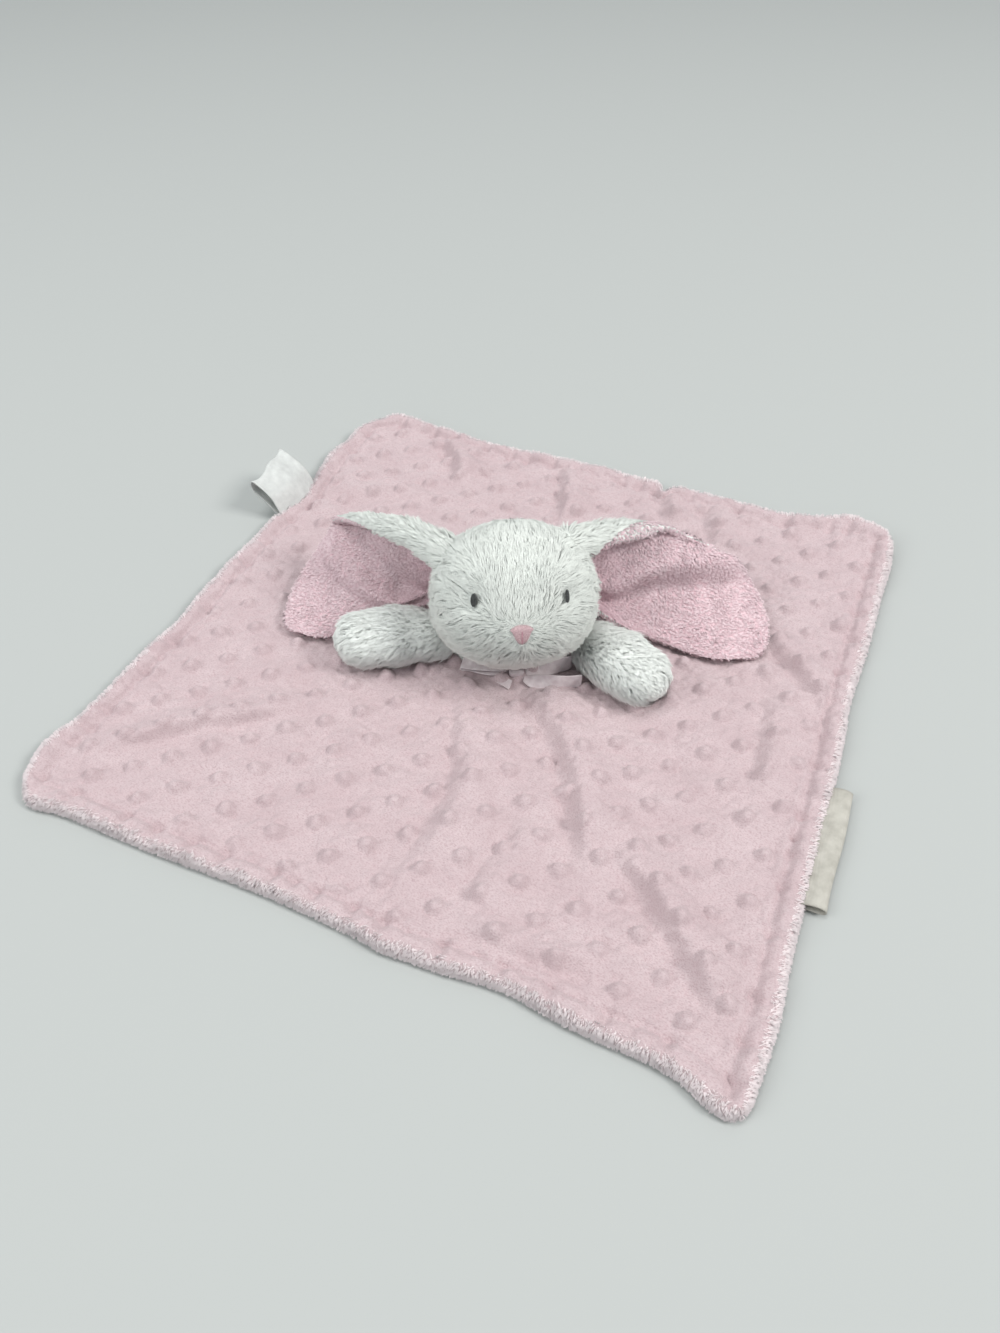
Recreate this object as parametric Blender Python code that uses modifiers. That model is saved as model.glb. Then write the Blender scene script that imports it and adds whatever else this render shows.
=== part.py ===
"""Comfort blanket lovey: a plush bunny's head and arms on a square two-layer blanket.

The blanket lies flat with its underside on z = 0.  X runs to the right and Y away
along the blanket's sides, and the origin is under the bunny's neck.  Metres, +Z up.
"""
import math

import bmesh
import bpy
import numpy as np
from mathutils import Matrix, Vector

# General clearances
touch_gap = 0.0003
weld_distance = 0.00001
smooth_angle = math.radians(50)
level_share = 0.5

# Blanket cloth
blanket_width = 0.3600
blanket_shift_x = -0.0020
blanket_shift_y = 0.0025
corner_pull = 0.0050
corner_sharpness = 14
edge_reach_power = 8
backing_thickness = 0.0022
front_thickness = 0.0017
rim_width = 0.0046
rim_rise = 0.0030
rim_foot_share = 0.25
rim_crest_share = 0.50
stitch_inset = 0.0110
stitch_width = 0.0010
stitch_thickness = 0.0004
flat_cut_depth = 0.0005
cells_inside_stitch = 18

# Bends of the outline: place along the side, outward reach and width
left_bend_shares = ((-0.42, 0.015, 0.04), (-0.14, -0.008, 0.05), (0.205, -0.020, 0.06),
                    (0.34, 0.006, 0.04), (0.47, -0.012, 0.03))
right_bend_shares = ((-0.40, 0.004, 0.05), (0.11, -0.006, 0.08), (0.42, 0.003, 0.04))
front_bend_shares = ((-0.46, 0.008, 0.03), (-0.10, -0.006, 0.12), (0.06, 0.004, 0.03),
                     (0.21, -0.010, 0.06), (0.48, 0.026, 0.05))
back_bend_shares = ((-0.43, 0.012, 0.04), (-0.25, -0.010, 0.09), (-0.025, 0.006, 0.03),
                    (0.103, -0.030, 0.008), (0.43, 0.026, 0.06))

# Folds of the cloth: both ends in plan, then height and width
fold_shares = (
    ((0.110, -0.160), (0.250, -0.270), 0.019, 0.034),
    ((0.250, -0.270), (0.440, -0.415), 0.015, 0.030),
    ((0.005, -0.175), (0.050, -0.300), 0.011, 0.028),
    ((-0.265, -0.220), (-0.425, -0.365), 0.016, 0.034),
    ((-0.330, 0.460), (-0.270, 0.370), 0.014, 0.032),
    ((-0.100, 0.460), (-0.050, 0.330), 0.013, 0.030),
    ((0.180, 0.480), (0.225, 0.390), 0.016, 0.030),
    ((0.405, 0.195), (0.450, 0.150), 0.013, 0.030),
    ((0.120, -0.455), (0.300, -0.445), 0.013, 0.026),
)
lifted_corner_shares = (((0.440, 0.515), 0.024, 0.085), ((-0.445, 0.500), 0.020, 0.070))

# Head
head_half_width = 0.0400
head_half_depth = 0.0360
head_half_height = 0.0362
head_roundness = 2.2
chin_taper_share = 0.05
head_x = 0.0023
head_y = 0.0029
head_z = 0.0460
head_yaw = math.radians(29)
head_pitch = math.radians(31)
plush_thickness = 0.0018
seam_gap = 0.0003
crown_seam_angle = math.radians(100)
nape_seam_angle = math.radians(247)

# Neck and joint
bunny_yaw = math.radians(19)
neck_forward = 0.0040
neck_z = 0.0160
neck_ball_radius = 0.0090
neck_stem_radius = 0.0078
neck_opening_radius = 0.0130
neck_pocket_gap = 0.0006
head_nod_clearance = 0.0022

# Face
eye_side_share = 0.5625
eye_height_share = 0.125
eye_width = 0.0036
eye_length = 0.0064
eye_thickness = 0.0016
nose_drop_share = 0.33
nose_width = 0.0112
nose_height = 0.0106
nose_thickness = 0.0022
nose_rounding_share = 0.22

# Yoke that joins the arms under the head
yoke_half_width = 0.0310
yoke_half_depth = 0.0120
yoke_height = 0.0085
yoke_back = 0.0030

# Ribbon
ribbon_width = 0.0090
ribbon_thickness = 0.0005
band_height = 0.0034
band_lift = 0.0012
band_gap = 0.0004
band_thickness = 0.0010
knot_length = 0.0080
knot_depth = 0.0054
knot_height = 0.0034
knot_rounding = 0.0012

# Bow: where each end lies from the knot, aside and ahead, in ribbon widths
loop_left_end_shares = (-3.20, -0.55)
loop_right_end_shares = (3.30, -0.15)
tail_left_end_shares = (-0.90, 0.92)
tail_right_end_shares = (3.65, 1.40)

# Bow stations: reach to the end, drift ahead, lift, lean towards upright, width
flat_loop_shares = ((0.16, 0.0, 0.10, 0.0, 0.40), (0.45, 0.0, 0.08, 0.0, 0.90), (0.80, 0.0, 0.07, 0.0, 1.0),
                    (0.97, 0.0, 0.12, 0.0, 1.0), (1.00, 0.0, 0.20, 0.0, 1.0), (0.95, 0.0, 0.29, 0.0, 1.0),
                    (0.78, 0.0, 0.33, 0.0, 1.0), (0.45, 0.0, 0.32, 0.0, 0.90), (0.16, 0.0, 0.28, 0.0, 0.40))
round_loop_shares = ((0.16, 0.06, 0.05, 0.20, 0.40), (0.40, 0.22, 0.04, 0.45, 0.80),
                     (0.70, 0.28, 0.04, 0.80, 1.0), (0.92, 0.20, 0.04, 0.95, 1.0),
                     (1.00, 0.00, 0.04, 1.00, 1.0), (0.92, -0.22, 0.04, 0.98, 1.0),
                     (0.70, -0.32, 0.04, 0.92, 1.0), (0.40, -0.34, 0.04, 0.78, 0.80),
                     (0.16, -0.34, 0.05, 0.60, 0.40))
short_tail_shares = ((0.50, 0.0, 0.07, 0.0, 0.40), (0.75, 0.0, 0.06, 0.0, 0.70),
                     (1.00, 0.0, 0.05, 0.0, 0.90))
long_tail_shares = ((0.14, 0.36, 0.07, 0.10, 0.40), (0.30, 0.55, 0.05, 0.35, 0.80),
                    (0.56, 0.62, 0.04, 0.75, 1.0), (0.80, 0.35, 0.04, 0.95, 1.0),
                    (1.00, 0.00, 0.04, 1.00, 1.0))

# Arms
arm_half_width = 0.0150
arm_half_height = 0.0122
arm_root_half_width = 0.0085
arm_root_half_height = 0.0052
left_shoulder_x, left_shoulder_y = -0.0280, -0.0050
left_paw_x, left_paw_y = -0.0825, -0.0385
right_shoulder_x, right_shoulder_y = 0.0310, 0.0220
right_paw_x, right_paw_y = 0.0860, -0.0040
arm_plush_thickness = 0.0015
arm_root_share = 0.04
arm_swell_share = 0.62
arm_swell_power = 1.5
arm_taper_share = 0.70
arm_station_shares = (0.0, 0.06, 0.2, 0.36, 0.52, 0.68, 0.80, 0.90, 0.97, 1.0)
stuffing_gap = 0.0007

# Ears
ear_length = 0.1300
ear_outer_thickness = 0.0026
ear_lining_thickness = 0.0014
ear_curl_radius = 0.0048
ear_end_bulge = 0.0090
ear_bulge_power = 5
ear_hollow_power = 1.9
ear_head_gap = 0.0008
ear_curl_turn = math.radians(195)
ear_curl_fade_share = 0.48
ear_curl_end_share = 0.90
ear_middle_share = 0.50
ear_bed_gap = 0.0006

# Stations along each ear, from the head's centre: front edge, then crest
left_front_shares = ((-0.225, -0.062, -0.010), (-0.440, -0.008, -0.225), (-0.580, -0.125, -0.285),
                     (-0.735, -0.265, -0.288), (-0.905, -0.300, -0.288))
left_crest_shares = ((-0.225, 0.009, 0.105), (-0.457, 0.071, 0.108), (-0.612, 0.106, 0.064),
                     (-0.768, 0.168, -0.012), (-0.893, 0.206, -0.078))
right_front_shares = ((0.205, 0.135, -0.005), (0.370, 0.315, -0.225), (0.535, 0.305, -0.285),
                      (0.745, 0.262, -0.288), (0.935, 0.330, -0.288))
right_crest_shares = ((0.126, 0.215, 0.118), (0.240, 0.355, 0.115), (0.404, 0.543, 0.042),
                      (0.612, 0.690, -0.094), (0.760, 0.755, -0.198))

# Labels, folded loops sewn in at the blanket's sides
label_thickness = 0.0006
label_edge_gap = 0.0004
care_label_width = 0.0370
care_label_y = 0.0725
care_label_reach = 0.0200
care_label_skew_share = 0.30
care_label_rise = 0.0185
care_label_z = 0.0022
name_label_width = 0.0680
name_label_y = -0.0530
name_label_reach = 0.0100
name_label_rise = 0.0042
name_label_z = 0.0014

# Each label's section: reach from the blanket and rise
care_section_shares = ((0.0, 0.0), (0.35, 0.03), (0.70, 0.25), (0.95, 0.78), (1.0, 0.97), (0.93, 1.0),
                       (0.85, 0.85), (0.60, 0.38), (0.30, 0.17), (0.0, 0.12))
name_section_shares = ((0.0, 0.0), (0.5, -0.04), (0.88, 0.06), (1.0, 0.42), (0.94, 0.80), (0.72, 1.0),
                       (0.4, 0.95), (0.0, 0.60))


def material(name, color, roughness):
    """A plain cloth material."""
    made = bpy.data.materials.new(name)
    made.use_nodes = True
    shader = made.node_tree.nodes["Principled BSDF"]
    shader.inputs["Base Color"].default_value = (*color, 1.0)
    shader.inputs["Roughness"].default_value = roughness
    shader.inputs["Metallic"].default_value = 0.0
    made.diffuse_color = (*color, 1.0)
    return made


def collection(name):
    """A new collection in the scene."""
    made = bpy.data.collections.new(name)
    bpy.context.scene.collection.children.link(made)
    return made


def add_object(name, mesh_data, finish, group):
    """An object for one sub-part, shaded smooth."""
    made = bpy.data.objects.new(name, mesh_data)
    group.objects.link(made)
    mesh_data.shade_smooth()
    mesh_data.set_sharp_from_angle(angle=smooth_angle)
    if finish is not None:
        mesh_data.materials.append(finish)
    return made


def mesh_from(name, build):
    """A mesh from a bmesh that the build function returns."""
    data = bpy.data.meshes.new(name)
    build.to_mesh(data)
    build.free()
    return data


def solidify(item, thickness, offset):
    """A wall on an open surface."""
    wall = item.modifiers.new("wall", "SOLIDIFY")
    wall.thickness = thickness
    wall.offset = offset
    return wall


def cut(item, cutter):
    """Take the cutter's space out of an item."""
    change = item.modifiers.new("cut_" + cutter.name, "BOOLEAN")
    change.operation = "DIFFERENCE"
    change.solver = "EXACT"
    change.object = cutter
    return change


def bell(distance, width):
    """A smooth hill, 1 at the middle."""
    return math.exp(-((distance / width) ** 2))


# Cloth shape

def side_bend(bend_shares, along):
    """How far a side of the blanket runs outward of its straight line."""
    reach = 0.0
    for place, out, width in bend_shares:
        reach += out * blanket_width * bell(along - place * blanket_width, width * blanket_width)
    return reach


def cloth_point(a, b):
    """Plan position for the blanket shares a and b, which run from -1 to 1."""
    half = blanket_width / 2
    x, y = a * half, b * half
    side_shares = right_bend_shares if a > 0 else left_bend_shares
    end_shares = back_bend_shares if b > 0 else front_bend_shares
    outward_x = side_bend(side_shares, y) * abs(a) ** edge_reach_power
    outward_y = side_bend(end_shares, x) * abs(b) ** edge_reach_power
    pull = corner_pull * (abs(a) * abs(b)) ** corner_sharpness
    x += (outward_x - pull) * math.copysign(1, a)
    y += (outward_y - pull) * math.copysign(1, b)
    return x + blanket_shift_x, y + blanket_shift_y


def distance_to_segment(x, y, start, end):
    """Distance in plan to a straight stretch between two points."""
    run = np.subtract(end, start)
    share = np.dot(np.subtract((x, y), start), run) / np.dot(run, run)
    nearest = np.add(start, run * min(1.0, max(0.0, share)))
    return math.hypot(x - nearest[0], y - nearest[1])


def cloth_lift(x, y):
    """How high the folds and the turned-up corners lift the cloth."""
    lift = 0.0
    for start, end, height, width in fold_shares:
        stretch = np.multiply((start, end), blanket_width)
        distance = distance_to_segment(x, y, *stretch)
        lift = max(lift, height * blanket_width * bell(distance, width * blanket_width))
    for centre, height, width in lifted_corner_shares:
        distance = math.hypot(x - centre[0] * blanket_width, y - centre[1] * blanket_width)
        lift = max(lift, height * blanket_width * bell(distance, width * blanket_width))
    return lift


def cloth_shares(*insets):
    """Shares across the blanket: lines at the given insets, at the stitch line and evenly between."""
    half = blanket_width / 2
    rims = [1 - inset / half for inset in (*insets, stitch_inset)]
    step = 2 * rims[-1] / cells_inside_stitch
    between = [i * step - rims[-1] for i in range(1, cells_inside_stitch)]
    return [-r for r in rims] + between + rims[::-1]


def grid_mesh(rows):
    """A bmesh surface through rows of points, split into triangles all one way."""
    build = bmesh.new()
    lines = [[build.verts.new(p) for p in row] for row in rows]
    for low, high in zip(lines, lines[1:]):
        for i in range(len(low) - 1):
            build.faces.new((low[i], low[i + 1], high[i + 1]))
            build.faces.new((low[i], high[i + 1], high[i]))
    return build


def loft_between(lower_rows, upper_rows):
    """A closed body between two surfaces with the same rows of points."""
    build = bmesh.new()
    low = [[build.verts.new(p) for p in row] for row in lower_rows]
    high = [[build.verts.new(p) for p in row] for row in upper_rows]
    for lines, faces_up in ((low, False), (high, True)):
        for near, far in zip(lines, lines[1:]):
            for i in range(len(near) - 1):
                for corners in ((near[i], near[i + 1], far[i + 1]), (near[i], far[i + 1], far[i])):
                    build.faces.new(corners if faces_up else corners[::-1])
    for first, second in ((low[0], high[0]), (low[-1][::-1], high[-1][::-1]),
                          ([r[0] for r in low][::-1], [r[0] for r in high][::-1]),
                          ([r[-1] for r in low], [r[-1] for r in high])):
        for i in range(len(first) - 1):
            build.faces.new((first[i], first[i + 1], second[i + 1], second[i]))
    bmesh.ops.recalc_face_normals(build, faces=build.faces)
    return build


def make_backing(group, finish):
    """The plush underlayer, flat below, with its rim turned up round the front cloth."""
    shares = cloth_shares(0.0, rim_width, rim_width + touch_gap)
    half = blanket_width / 2
    full = backing_thickness + touch_gap + rim_rise
    lower, upper = [], []
    for b in shares:
        low_row, high_row = [], []
        for a in shares:
            x, y = cloth_point(a, b)
            lift = cloth_lift(x, y)
            inset = (1 - max(abs(a), abs(b))) * half
            if inset < weld_distance:
                top, bottom = full * rim_crest_share, full * rim_foot_share
            elif inset < rim_width + touch_gap / 2:
                top, bottom = full, 0.0
            else:
                top, bottom = backing_thickness, 0.0
            low_row.append((x, y, bottom + max(0.0, lift - flat_cut_depth)))
            high_row.append((x, y, lift + top))
        lower.append(low_row)
        upper.append(high_row)
    solid = mesh_from("blanket_backing", loft_between(lower, upper))
    return add_object("blanket_backing", solid, finish, group)


def make_front(group, finish):
    """The dotted front cloth inside the rim."""
    shares = cloth_shares(rim_width + 2 * touch_gap)
    lower, upper = [], []
    for b in shares:
        places = [cloth_point(a, b) for a in shares]
        lower.append([(x, y, cloth_top(x, y) - front_thickness) for x, y in places])
        upper.append([(x, y, cloth_top(x, y)) for x, y in places])
    solid = mesh_from("blanket_front", loft_between(lower, upper))
    return add_object("blanket_front", solid, finish, group)


def cloth_top(x, y):
    """Height of the front cloth's upper face."""
    return cloth_lift(x, y) + backing_thickness + touch_gap + front_thickness


def face_upward(build):
    """Turn an open surface's faces so that its level parts look up."""
    build.normal_update()
    if sum(f.normal.z * f.calc_area() for f in build.faces if f.normal.z ** 2 > level_share) < 0:
        bmesh.ops.reverse_faces(build, faces=build.faces)
        build.normal_update()


def make_topstitch(group, finish):
    """The thread that runs round the blanket in its stitch line."""
    shares = cloth_shares()
    line = shares[-1]
    half_width_share = stitch_width / blanket_width
    loop = [(a, -line) for a in shares[:-1]] + [(line, b) for b in shares[:-1]]
    loop += [(-a, line) for a in shares[:-1]] + [(-line, -b) for b in shares[:-1]]
    rows = []
    for sign in (1, -1):
        grow = 1 + sign * half_width_share
        row = []
        for a, b in loop + loop[:1]:
            x, y = cloth_point(a, b)
            wide_x, wide_y = cloth_point(a * grow, b * grow)
            row.append((wide_x, wide_y, cloth_top(x, y) + touch_gap))
        rows.append(row)
    build = grid_mesh(rows)
    bmesh.ops.remove_doubles(build, verts=build.verts, dist=weld_distance)
    face_upward(build)
    thread = add_object("edge_topstitch", mesh_from("edge_topstitch", build), finish, group)
    solidify(thread, stitch_thickness, 1.0)
    return thread


# Directions and places of the bunny

def ahead(yaw):
    """Unit direction in plan that something turned by yaw looks towards."""
    return Vector((math.sin(yaw), -math.cos(yaw), 0))


def aside(yaw):
    """Unit direction in plan to the right of that view."""
    return Vector((math.cos(yaw), math.sin(yaw), 0))


def head_centre():
    """The middle of the head."""
    return Vector((head_x, head_y, head_z))


def head_matrix():
    """From the head's own frame, X aside, Y to the nape and Z to the crown, to the world."""
    turn = Matrix.Rotation(head_yaw, 4, "Z") @ Matrix.Rotation(-head_pitch, 4, "X")
    return Matrix.Translation(head_centre()) @ turn


def neck_pivot():
    """The middle of the ball on the neck, which the head nods about."""
    plan = head_centre() + ahead(head_yaw) * neck_forward
    return Vector((plan.x, plan.y, neck_z))


def cloth_seat():
    """Height at which the bunny's pieces rest on the flat middle of the blanket."""
    return cloth_top(0, 0) + touch_gap


def head_reach(direction, inset):
    """Distance from the head's middle to its skin, less an inset, along a unit direction."""
    narrow = 1 - chin_taper_share * max(0.0, -direction.z) ** 2
    halves = (head_half_width * narrow, head_half_depth, head_half_height)
    total = sum((abs(d) / h) ** head_roundness for d, h in zip(direction, halves))
    return total ** (-1 / head_roundness) - inset


def head_point(side_angle, round_angle, inset=0.0):
    """A point of the head, side_angle off the middle plane and round_angle from face over crown."""
    direction = Vector((math.sin(side_angle), -math.cos(side_angle) * math.cos(round_angle),
                        math.cos(side_angle) * math.sin(round_angle)))
    return direction * head_reach(direction, inset)


def steps(low, high, count):
    """Evenly spaced values from low to high."""
    return [low + (high - low) * i / count for i in range(count + 1)]


def face_outward(build, centre):
    """Turn an open surface's faces away from a centre."""
    total = sum((f.normal.dot(f.calc_center_median() - centre) for f in build.faces), 0.0)
    if total < 0:
        bmesh.ops.reverse_faces(build, faces=build.faces)


def make_head_panel(name, sides, rounds, counts, group, finish):
    """One plush panel of the head between two seams."""
    layers = []
    for inset in (plush_thickness, 0.0):
        layers.append([[head_point(s, r, inset) for s in steps(*sides, counts[0])]
                       for r in steps(*rounds, counts[1])])
    build = loft_between(*layers)
    bmesh.ops.remove_doubles(build, verts=build.verts, dist=weld_distance)
    bmesh.ops.recalc_face_normals(build, faces=build.faces)
    panel = add_object(name, mesh_from(name, build), finish, group)
    panel.matrix_world = head_matrix()
    return panel


def make_head_body(name, inset, group, finish):
    """A closed body in the head's shape, smaller or larger by an inset."""
    rows = [[head_point(s, r, inset) for s in steps(-math.pi / 2, math.pi / 2, 12)]
            for r in steps(0.0, 2 * math.pi, 20)]
    build = grid_mesh(rows)
    bmesh.ops.remove_doubles(build, verts=build.verts, dist=weld_distance)
    bmesh.ops.recalc_face_normals(build, faces=build.faces)
    body = add_object(name, mesh_from(name, build), finish, group)
    body.matrix_world = head_matrix()
    return body


def make_head(group, guides, finishes):
    """The head's three panels and its stuffing, opened below for the neck."""
    half_gap = seam_gap / 2 / head_half_height
    quarter = math.pi / 2
    face_rounds = (nape_seam_angle - 2 * math.pi + half_gap, crown_seam_angle - half_gap)
    back_rounds = (crown_seam_angle + half_gap, nape_seam_angle - half_gap)
    plush = finishes["plush"]
    panels = [
        make_head_panel("head_face_left", (-quarter, -half_gap), face_rounds, (6, 12), group, plush),
        make_head_panel("head_face_right", (half_gap, quarter), face_rounds, (6, 12), group, plush),
        make_head_panel("head_back", (-quarter, quarter), back_rounds, (12, 8), group, plush),
    ]
    stuffing = make_head_body("head_stuffing", plush_thickness + stuffing_gap, group, finishes["stuffing"])
    pivot = neck_pivot()
    foot = pivot - Vector((0, 0, neck_z))
    opening = add_cylinder("neck_opening_cutter", neck_opening_radius, foot, neck_z, guides)
    pocket = add_ball("neck_pocket_cutter", neck_ball_radius + neck_pocket_gap, pivot, guides)
    for item in (*panels, stuffing):
        cut(item, opening)
    cut(stuffing, pocket)
    return [*panels, stuffing]


def add_cylinder(name, radius, foot, height, group):
    """A round cutter that stands on a foot point."""
    build = bmesh.new()
    bmesh.ops.create_cone(build, cap_ends=True, segments=24, radius1=radius, radius2=radius, depth=height)
    bmesh.ops.translate(build, verts=build.verts, vec=foot + Vector((0, 0, height / 2)))
    return add_object(name, mesh_from(name, build), None, group)


def add_ball(name, radius, centre, group):
    """A ball-shaped cutter."""
    build = bmesh.new()
    bmesh.ops.create_uvsphere(build, u_segments=20, v_segments=12, radius=radius)
    bmesh.ops.translate(build, verts=build.verts, vec=centre)
    return add_object(name, mesh_from(name, build), None, group)


def make_neck(group, finish):
    """The stuffed neck: a stem with a ball on it, turned round the neck's upright axis."""
    pivot = neck_pivot()
    join = math.asin(neck_stem_radius / neck_ball_radius)
    profile = [(neck_ball_radius * math.sin(t), neck_z + neck_ball_radius * math.cos(t))
               for t in steps(0.0, math.pi - join, 9)]
    profile += [(neck_stem_radius, cloth_seat()), (0.0, cloth_seat())]
    build = bmesh.new()
    points = [build.verts.new((x, 0, z)) for x, z in profile]
    for near, far in zip(points, points[1:]):
        build.edges.new((near, far))
    neck = add_object("neck_stuffing", mesh_from("neck_stuffing", build), finish, group)
    neck.location = (pivot.x, pivot.y, 0)
    turn = neck.modifiers.new("turn", "SCREW")
    turn.steps = 16
    turn.render_steps = 16
    turn.use_merge_vertices = True
    turn.merge_threshold = weld_distance
    turn.use_normal_calculate = True
    return neck


def band_radius():
    """Outer radius of the ribbon round the neck."""
    return neck_stem_radius + band_gap + band_thickness


def shoulder(side):
    """Where an arm swings, on the cloth."""
    places = {"left": (left_shoulder_x, left_shoulder_y), "right": (right_shoulder_x, right_shoulder_y)}
    return Vector((*places[side], 0))


def paw(side):
    """The end of an arm's line, on the cloth."""
    places = {"left": (left_paw_x, left_paw_y), "right": (right_paw_x, right_paw_y)}
    return Vector((*places[side], 0))


def make_yoke(group, guides, clearance, finish):
    """The flat yoke under the head, open for the neck and shoulders and hollowed under the chin."""
    build = bmesh.new()
    bmesh.ops.create_uvsphere(build, u_segments=20, v_segments=10, radius=1)
    size = Matrix.Diagonal((yoke_half_width, yoke_half_depth, yoke_height, 1))
    plan = head_centre() - ahead(head_yaw) * yoke_back
    place = Matrix.Translation((plan.x, plan.y, cloth_seat())) @ Matrix.Rotation(head_yaw, 4, "Z")
    build.transform(place @ size)
    bmesh.ops.bisect_plane(build, geom=build.verts[:] + build.edges[:] + build.faces[:],
                           plane_co=(0, 0, cloth_seat()), plane_no=(0, 0, 1), clear_inner=True)
    bmesh.ops.holes_fill(build, edges=build.edges)
    bmesh.ops.recalc_face_normals(build, faces=build.faces)
    yoke = add_object("neck_yoke", mesh_from("neck_yoke", build), finish, group)
    pivot = neck_pivot()
    foot = Vector((pivot.x, pivot.y, 0))
    hole = add_cylinder("yoke_hole_cutter", band_radius() + touch_gap, foot, neck_z, guides)
    cut(yoke, hole)
    for side in ("left", "right"):
        root = arm_root_share * (paw(side) - shoulder(side)).length
        reach = math.hypot(arm_root_half_width, root) + touch_gap
        cut(yoke, add_cylinder("shoulder_cutter_" + side, reach, shoulder(side), neck_z, guides))
    cut(yoke, clearance)
    return yoke


# Face

def on_head(side, height, sink):
    """Place and turn of a patch on the head's front, from its own side and height."""
    start = Vector((side, -head_half_depth * 2, height))
    low, high = 0.0, head_half_depth * 2
    for _ in range(40):
        middle = (low + high) / 2
        probe = Vector((side, -middle, height))
        if probe.length > head_reach(probe.normalized(), 0.0):
            high = middle
        else:
            low = middle
    start.y = -low
    small = touch_gap
    normal = Vector((skin_slope(start, Vector((small, 0, 0))), skin_slope(start, Vector((0, small, 0))),
                     skin_slope(start, Vector((0, 0, small))))).normalized()
    turn = normal.to_track_quat("Z", "Y").to_matrix().to_4x4()
    return Matrix.Translation(start + normal * sink) @ turn


def skin_slope(point, step):
    """How the distance outside the skin grows along a small step."""
    def outside(p):
        return p.length / head_reach(p.normalized(), 0.0)
    return outside(point + step) - outside(point - step)


def make_eye(name, sign, group, finish):
    """A small upright stitched oval."""
    build = bmesh.new()
    bmesh.ops.create_uvsphere(build, u_segments=12, v_segments=8, radius=1)
    build.transform(Matrix.Diagonal((eye_width / 2, eye_length / 2, eye_thickness / 2, 1)))
    side, height = sign * eye_side_share * head_half_width, eye_height_share * head_half_height
    seat = on_head(side, height, eye_thickness / 2 + skin_sagitta(eye_length) + touch_gap)
    build.transform(seat)
    eye = add_object(name, mesh_from(name, build), finish, group)
    eye.matrix_world = head_matrix()
    return eye


def skin_sagitta(width):
    """Room that a flat patch of this width needs over the curved skin's facets."""
    return width * width / 8 / head_half_height


def make_nose(group, finish):
    """The nose: a padded triangle, point down, with rounded corners."""
    curve = bpy.data.curves.new("nose", "CURVE")
    curve.dimensions = "2D"
    curve.fill_mode = "BOTH"
    bevel = nose_thickness / 4
    curve.extrude = nose_thickness / 2 - bevel
    curve.bevel_depth = bevel
    curve.bevel_resolution = 1
    half_width, half_height = nose_width / 2, nose_height / 2
    corners = ((-half_width, half_height), (half_width, half_height), (0, -half_height))
    outline = []
    for i, corner in enumerate(corners):
        here = Vector(corner)
        before, after = Vector(corners[i - 1]), Vector(corners[(i + 1) % 3])
        outline += [here.lerp(before, nose_rounding_share), here.lerp(before, nose_rounding_share / 3),
                    here.lerp(after, nose_rounding_share / 3), here.lerp(after, nose_rounding_share)]
    spline = curve.splines.new("POLY")
    spline.points.add(len(outline) - 1)
    for point, place in zip(spline.points, outline):
        point.co = (place.x, place.y, 0, 1)
    spline.use_cyclic_u = True
    flat = bpy.data.objects.new("nose_outline", curve)
    bpy.context.scene.collection.objects.link(flat)
    bpy.context.view_layer.update()
    solid = bpy.data.meshes.new_from_object(flat.evaluated_get(bpy.context.evaluated_depsgraph_get()))
    bpy.data.objects.remove(flat)
    build = bmesh.new()
    build.from_mesh(solid)
    bmesh.ops.remove_doubles(build, verts=build.verts, dist=weld_distance)
    drop = nose_drop_share * head_half_height
    seat = on_head(0.0, -drop, nose_thickness / 2 + skin_sagitta(nose_width) + touch_gap)
    build.transform(seat)
    nose = add_object("nose", mesh_from("nose", build), finish, group)
    nose.matrix_world = head_matrix()
    return nose


# Arms

def arm_section(share):
    """Half width and half height of an arm at a share of its length."""
    swell = math.sin(min(1.0, share / arm_swell_share) * math.pi / 2) ** arm_swell_power
    taper = math.sqrt(max(0.0, 1 - max(0.0, (share - arm_taper_share) / (1 - arm_taper_share)) ** 2))
    half_width = arm_root_half_width + (arm_half_width - arm_root_half_width) * swell
    half_height = arm_root_half_height + (arm_half_height - arm_root_half_height) * swell
    return half_width * taper, half_height * taper


def arm_surface(side, inset):
    """Rings of points along an arm that lies on the cloth."""
    along = (paw(side) - shoulder(side)).normalized()
    across = Vector((-along.y, along.x, 0))
    length = (paw(side) - shoulder(side)).length
    rows = []
    for share in [arm_root_share + (1 - arm_root_share) * s for s in arm_station_shares]:
        half_width, half_height = arm_section(share)
        middle_z = cloth_seat() + arm_section(min(share, arm_taper_share))[1]
        drawn_in = inset * max(0.0, (share - arm_swell_share) / (1 - arm_swell_share))
        middle = shoulder(side) + along * (length * share - drawn_in)
        wide, tall = max(0.0, half_width - inset), max(0.0, half_height - inset)
        row = []
        for turn in steps(0.0, 2 * math.pi, 12):
            row.append(Vector((middle.x, middle.y, middle_z)) + across * (wide * math.cos(turn))
                       + Vector((0, 0, tall * math.sin(turn))))
        rows.append(row)
    return rows


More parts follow.
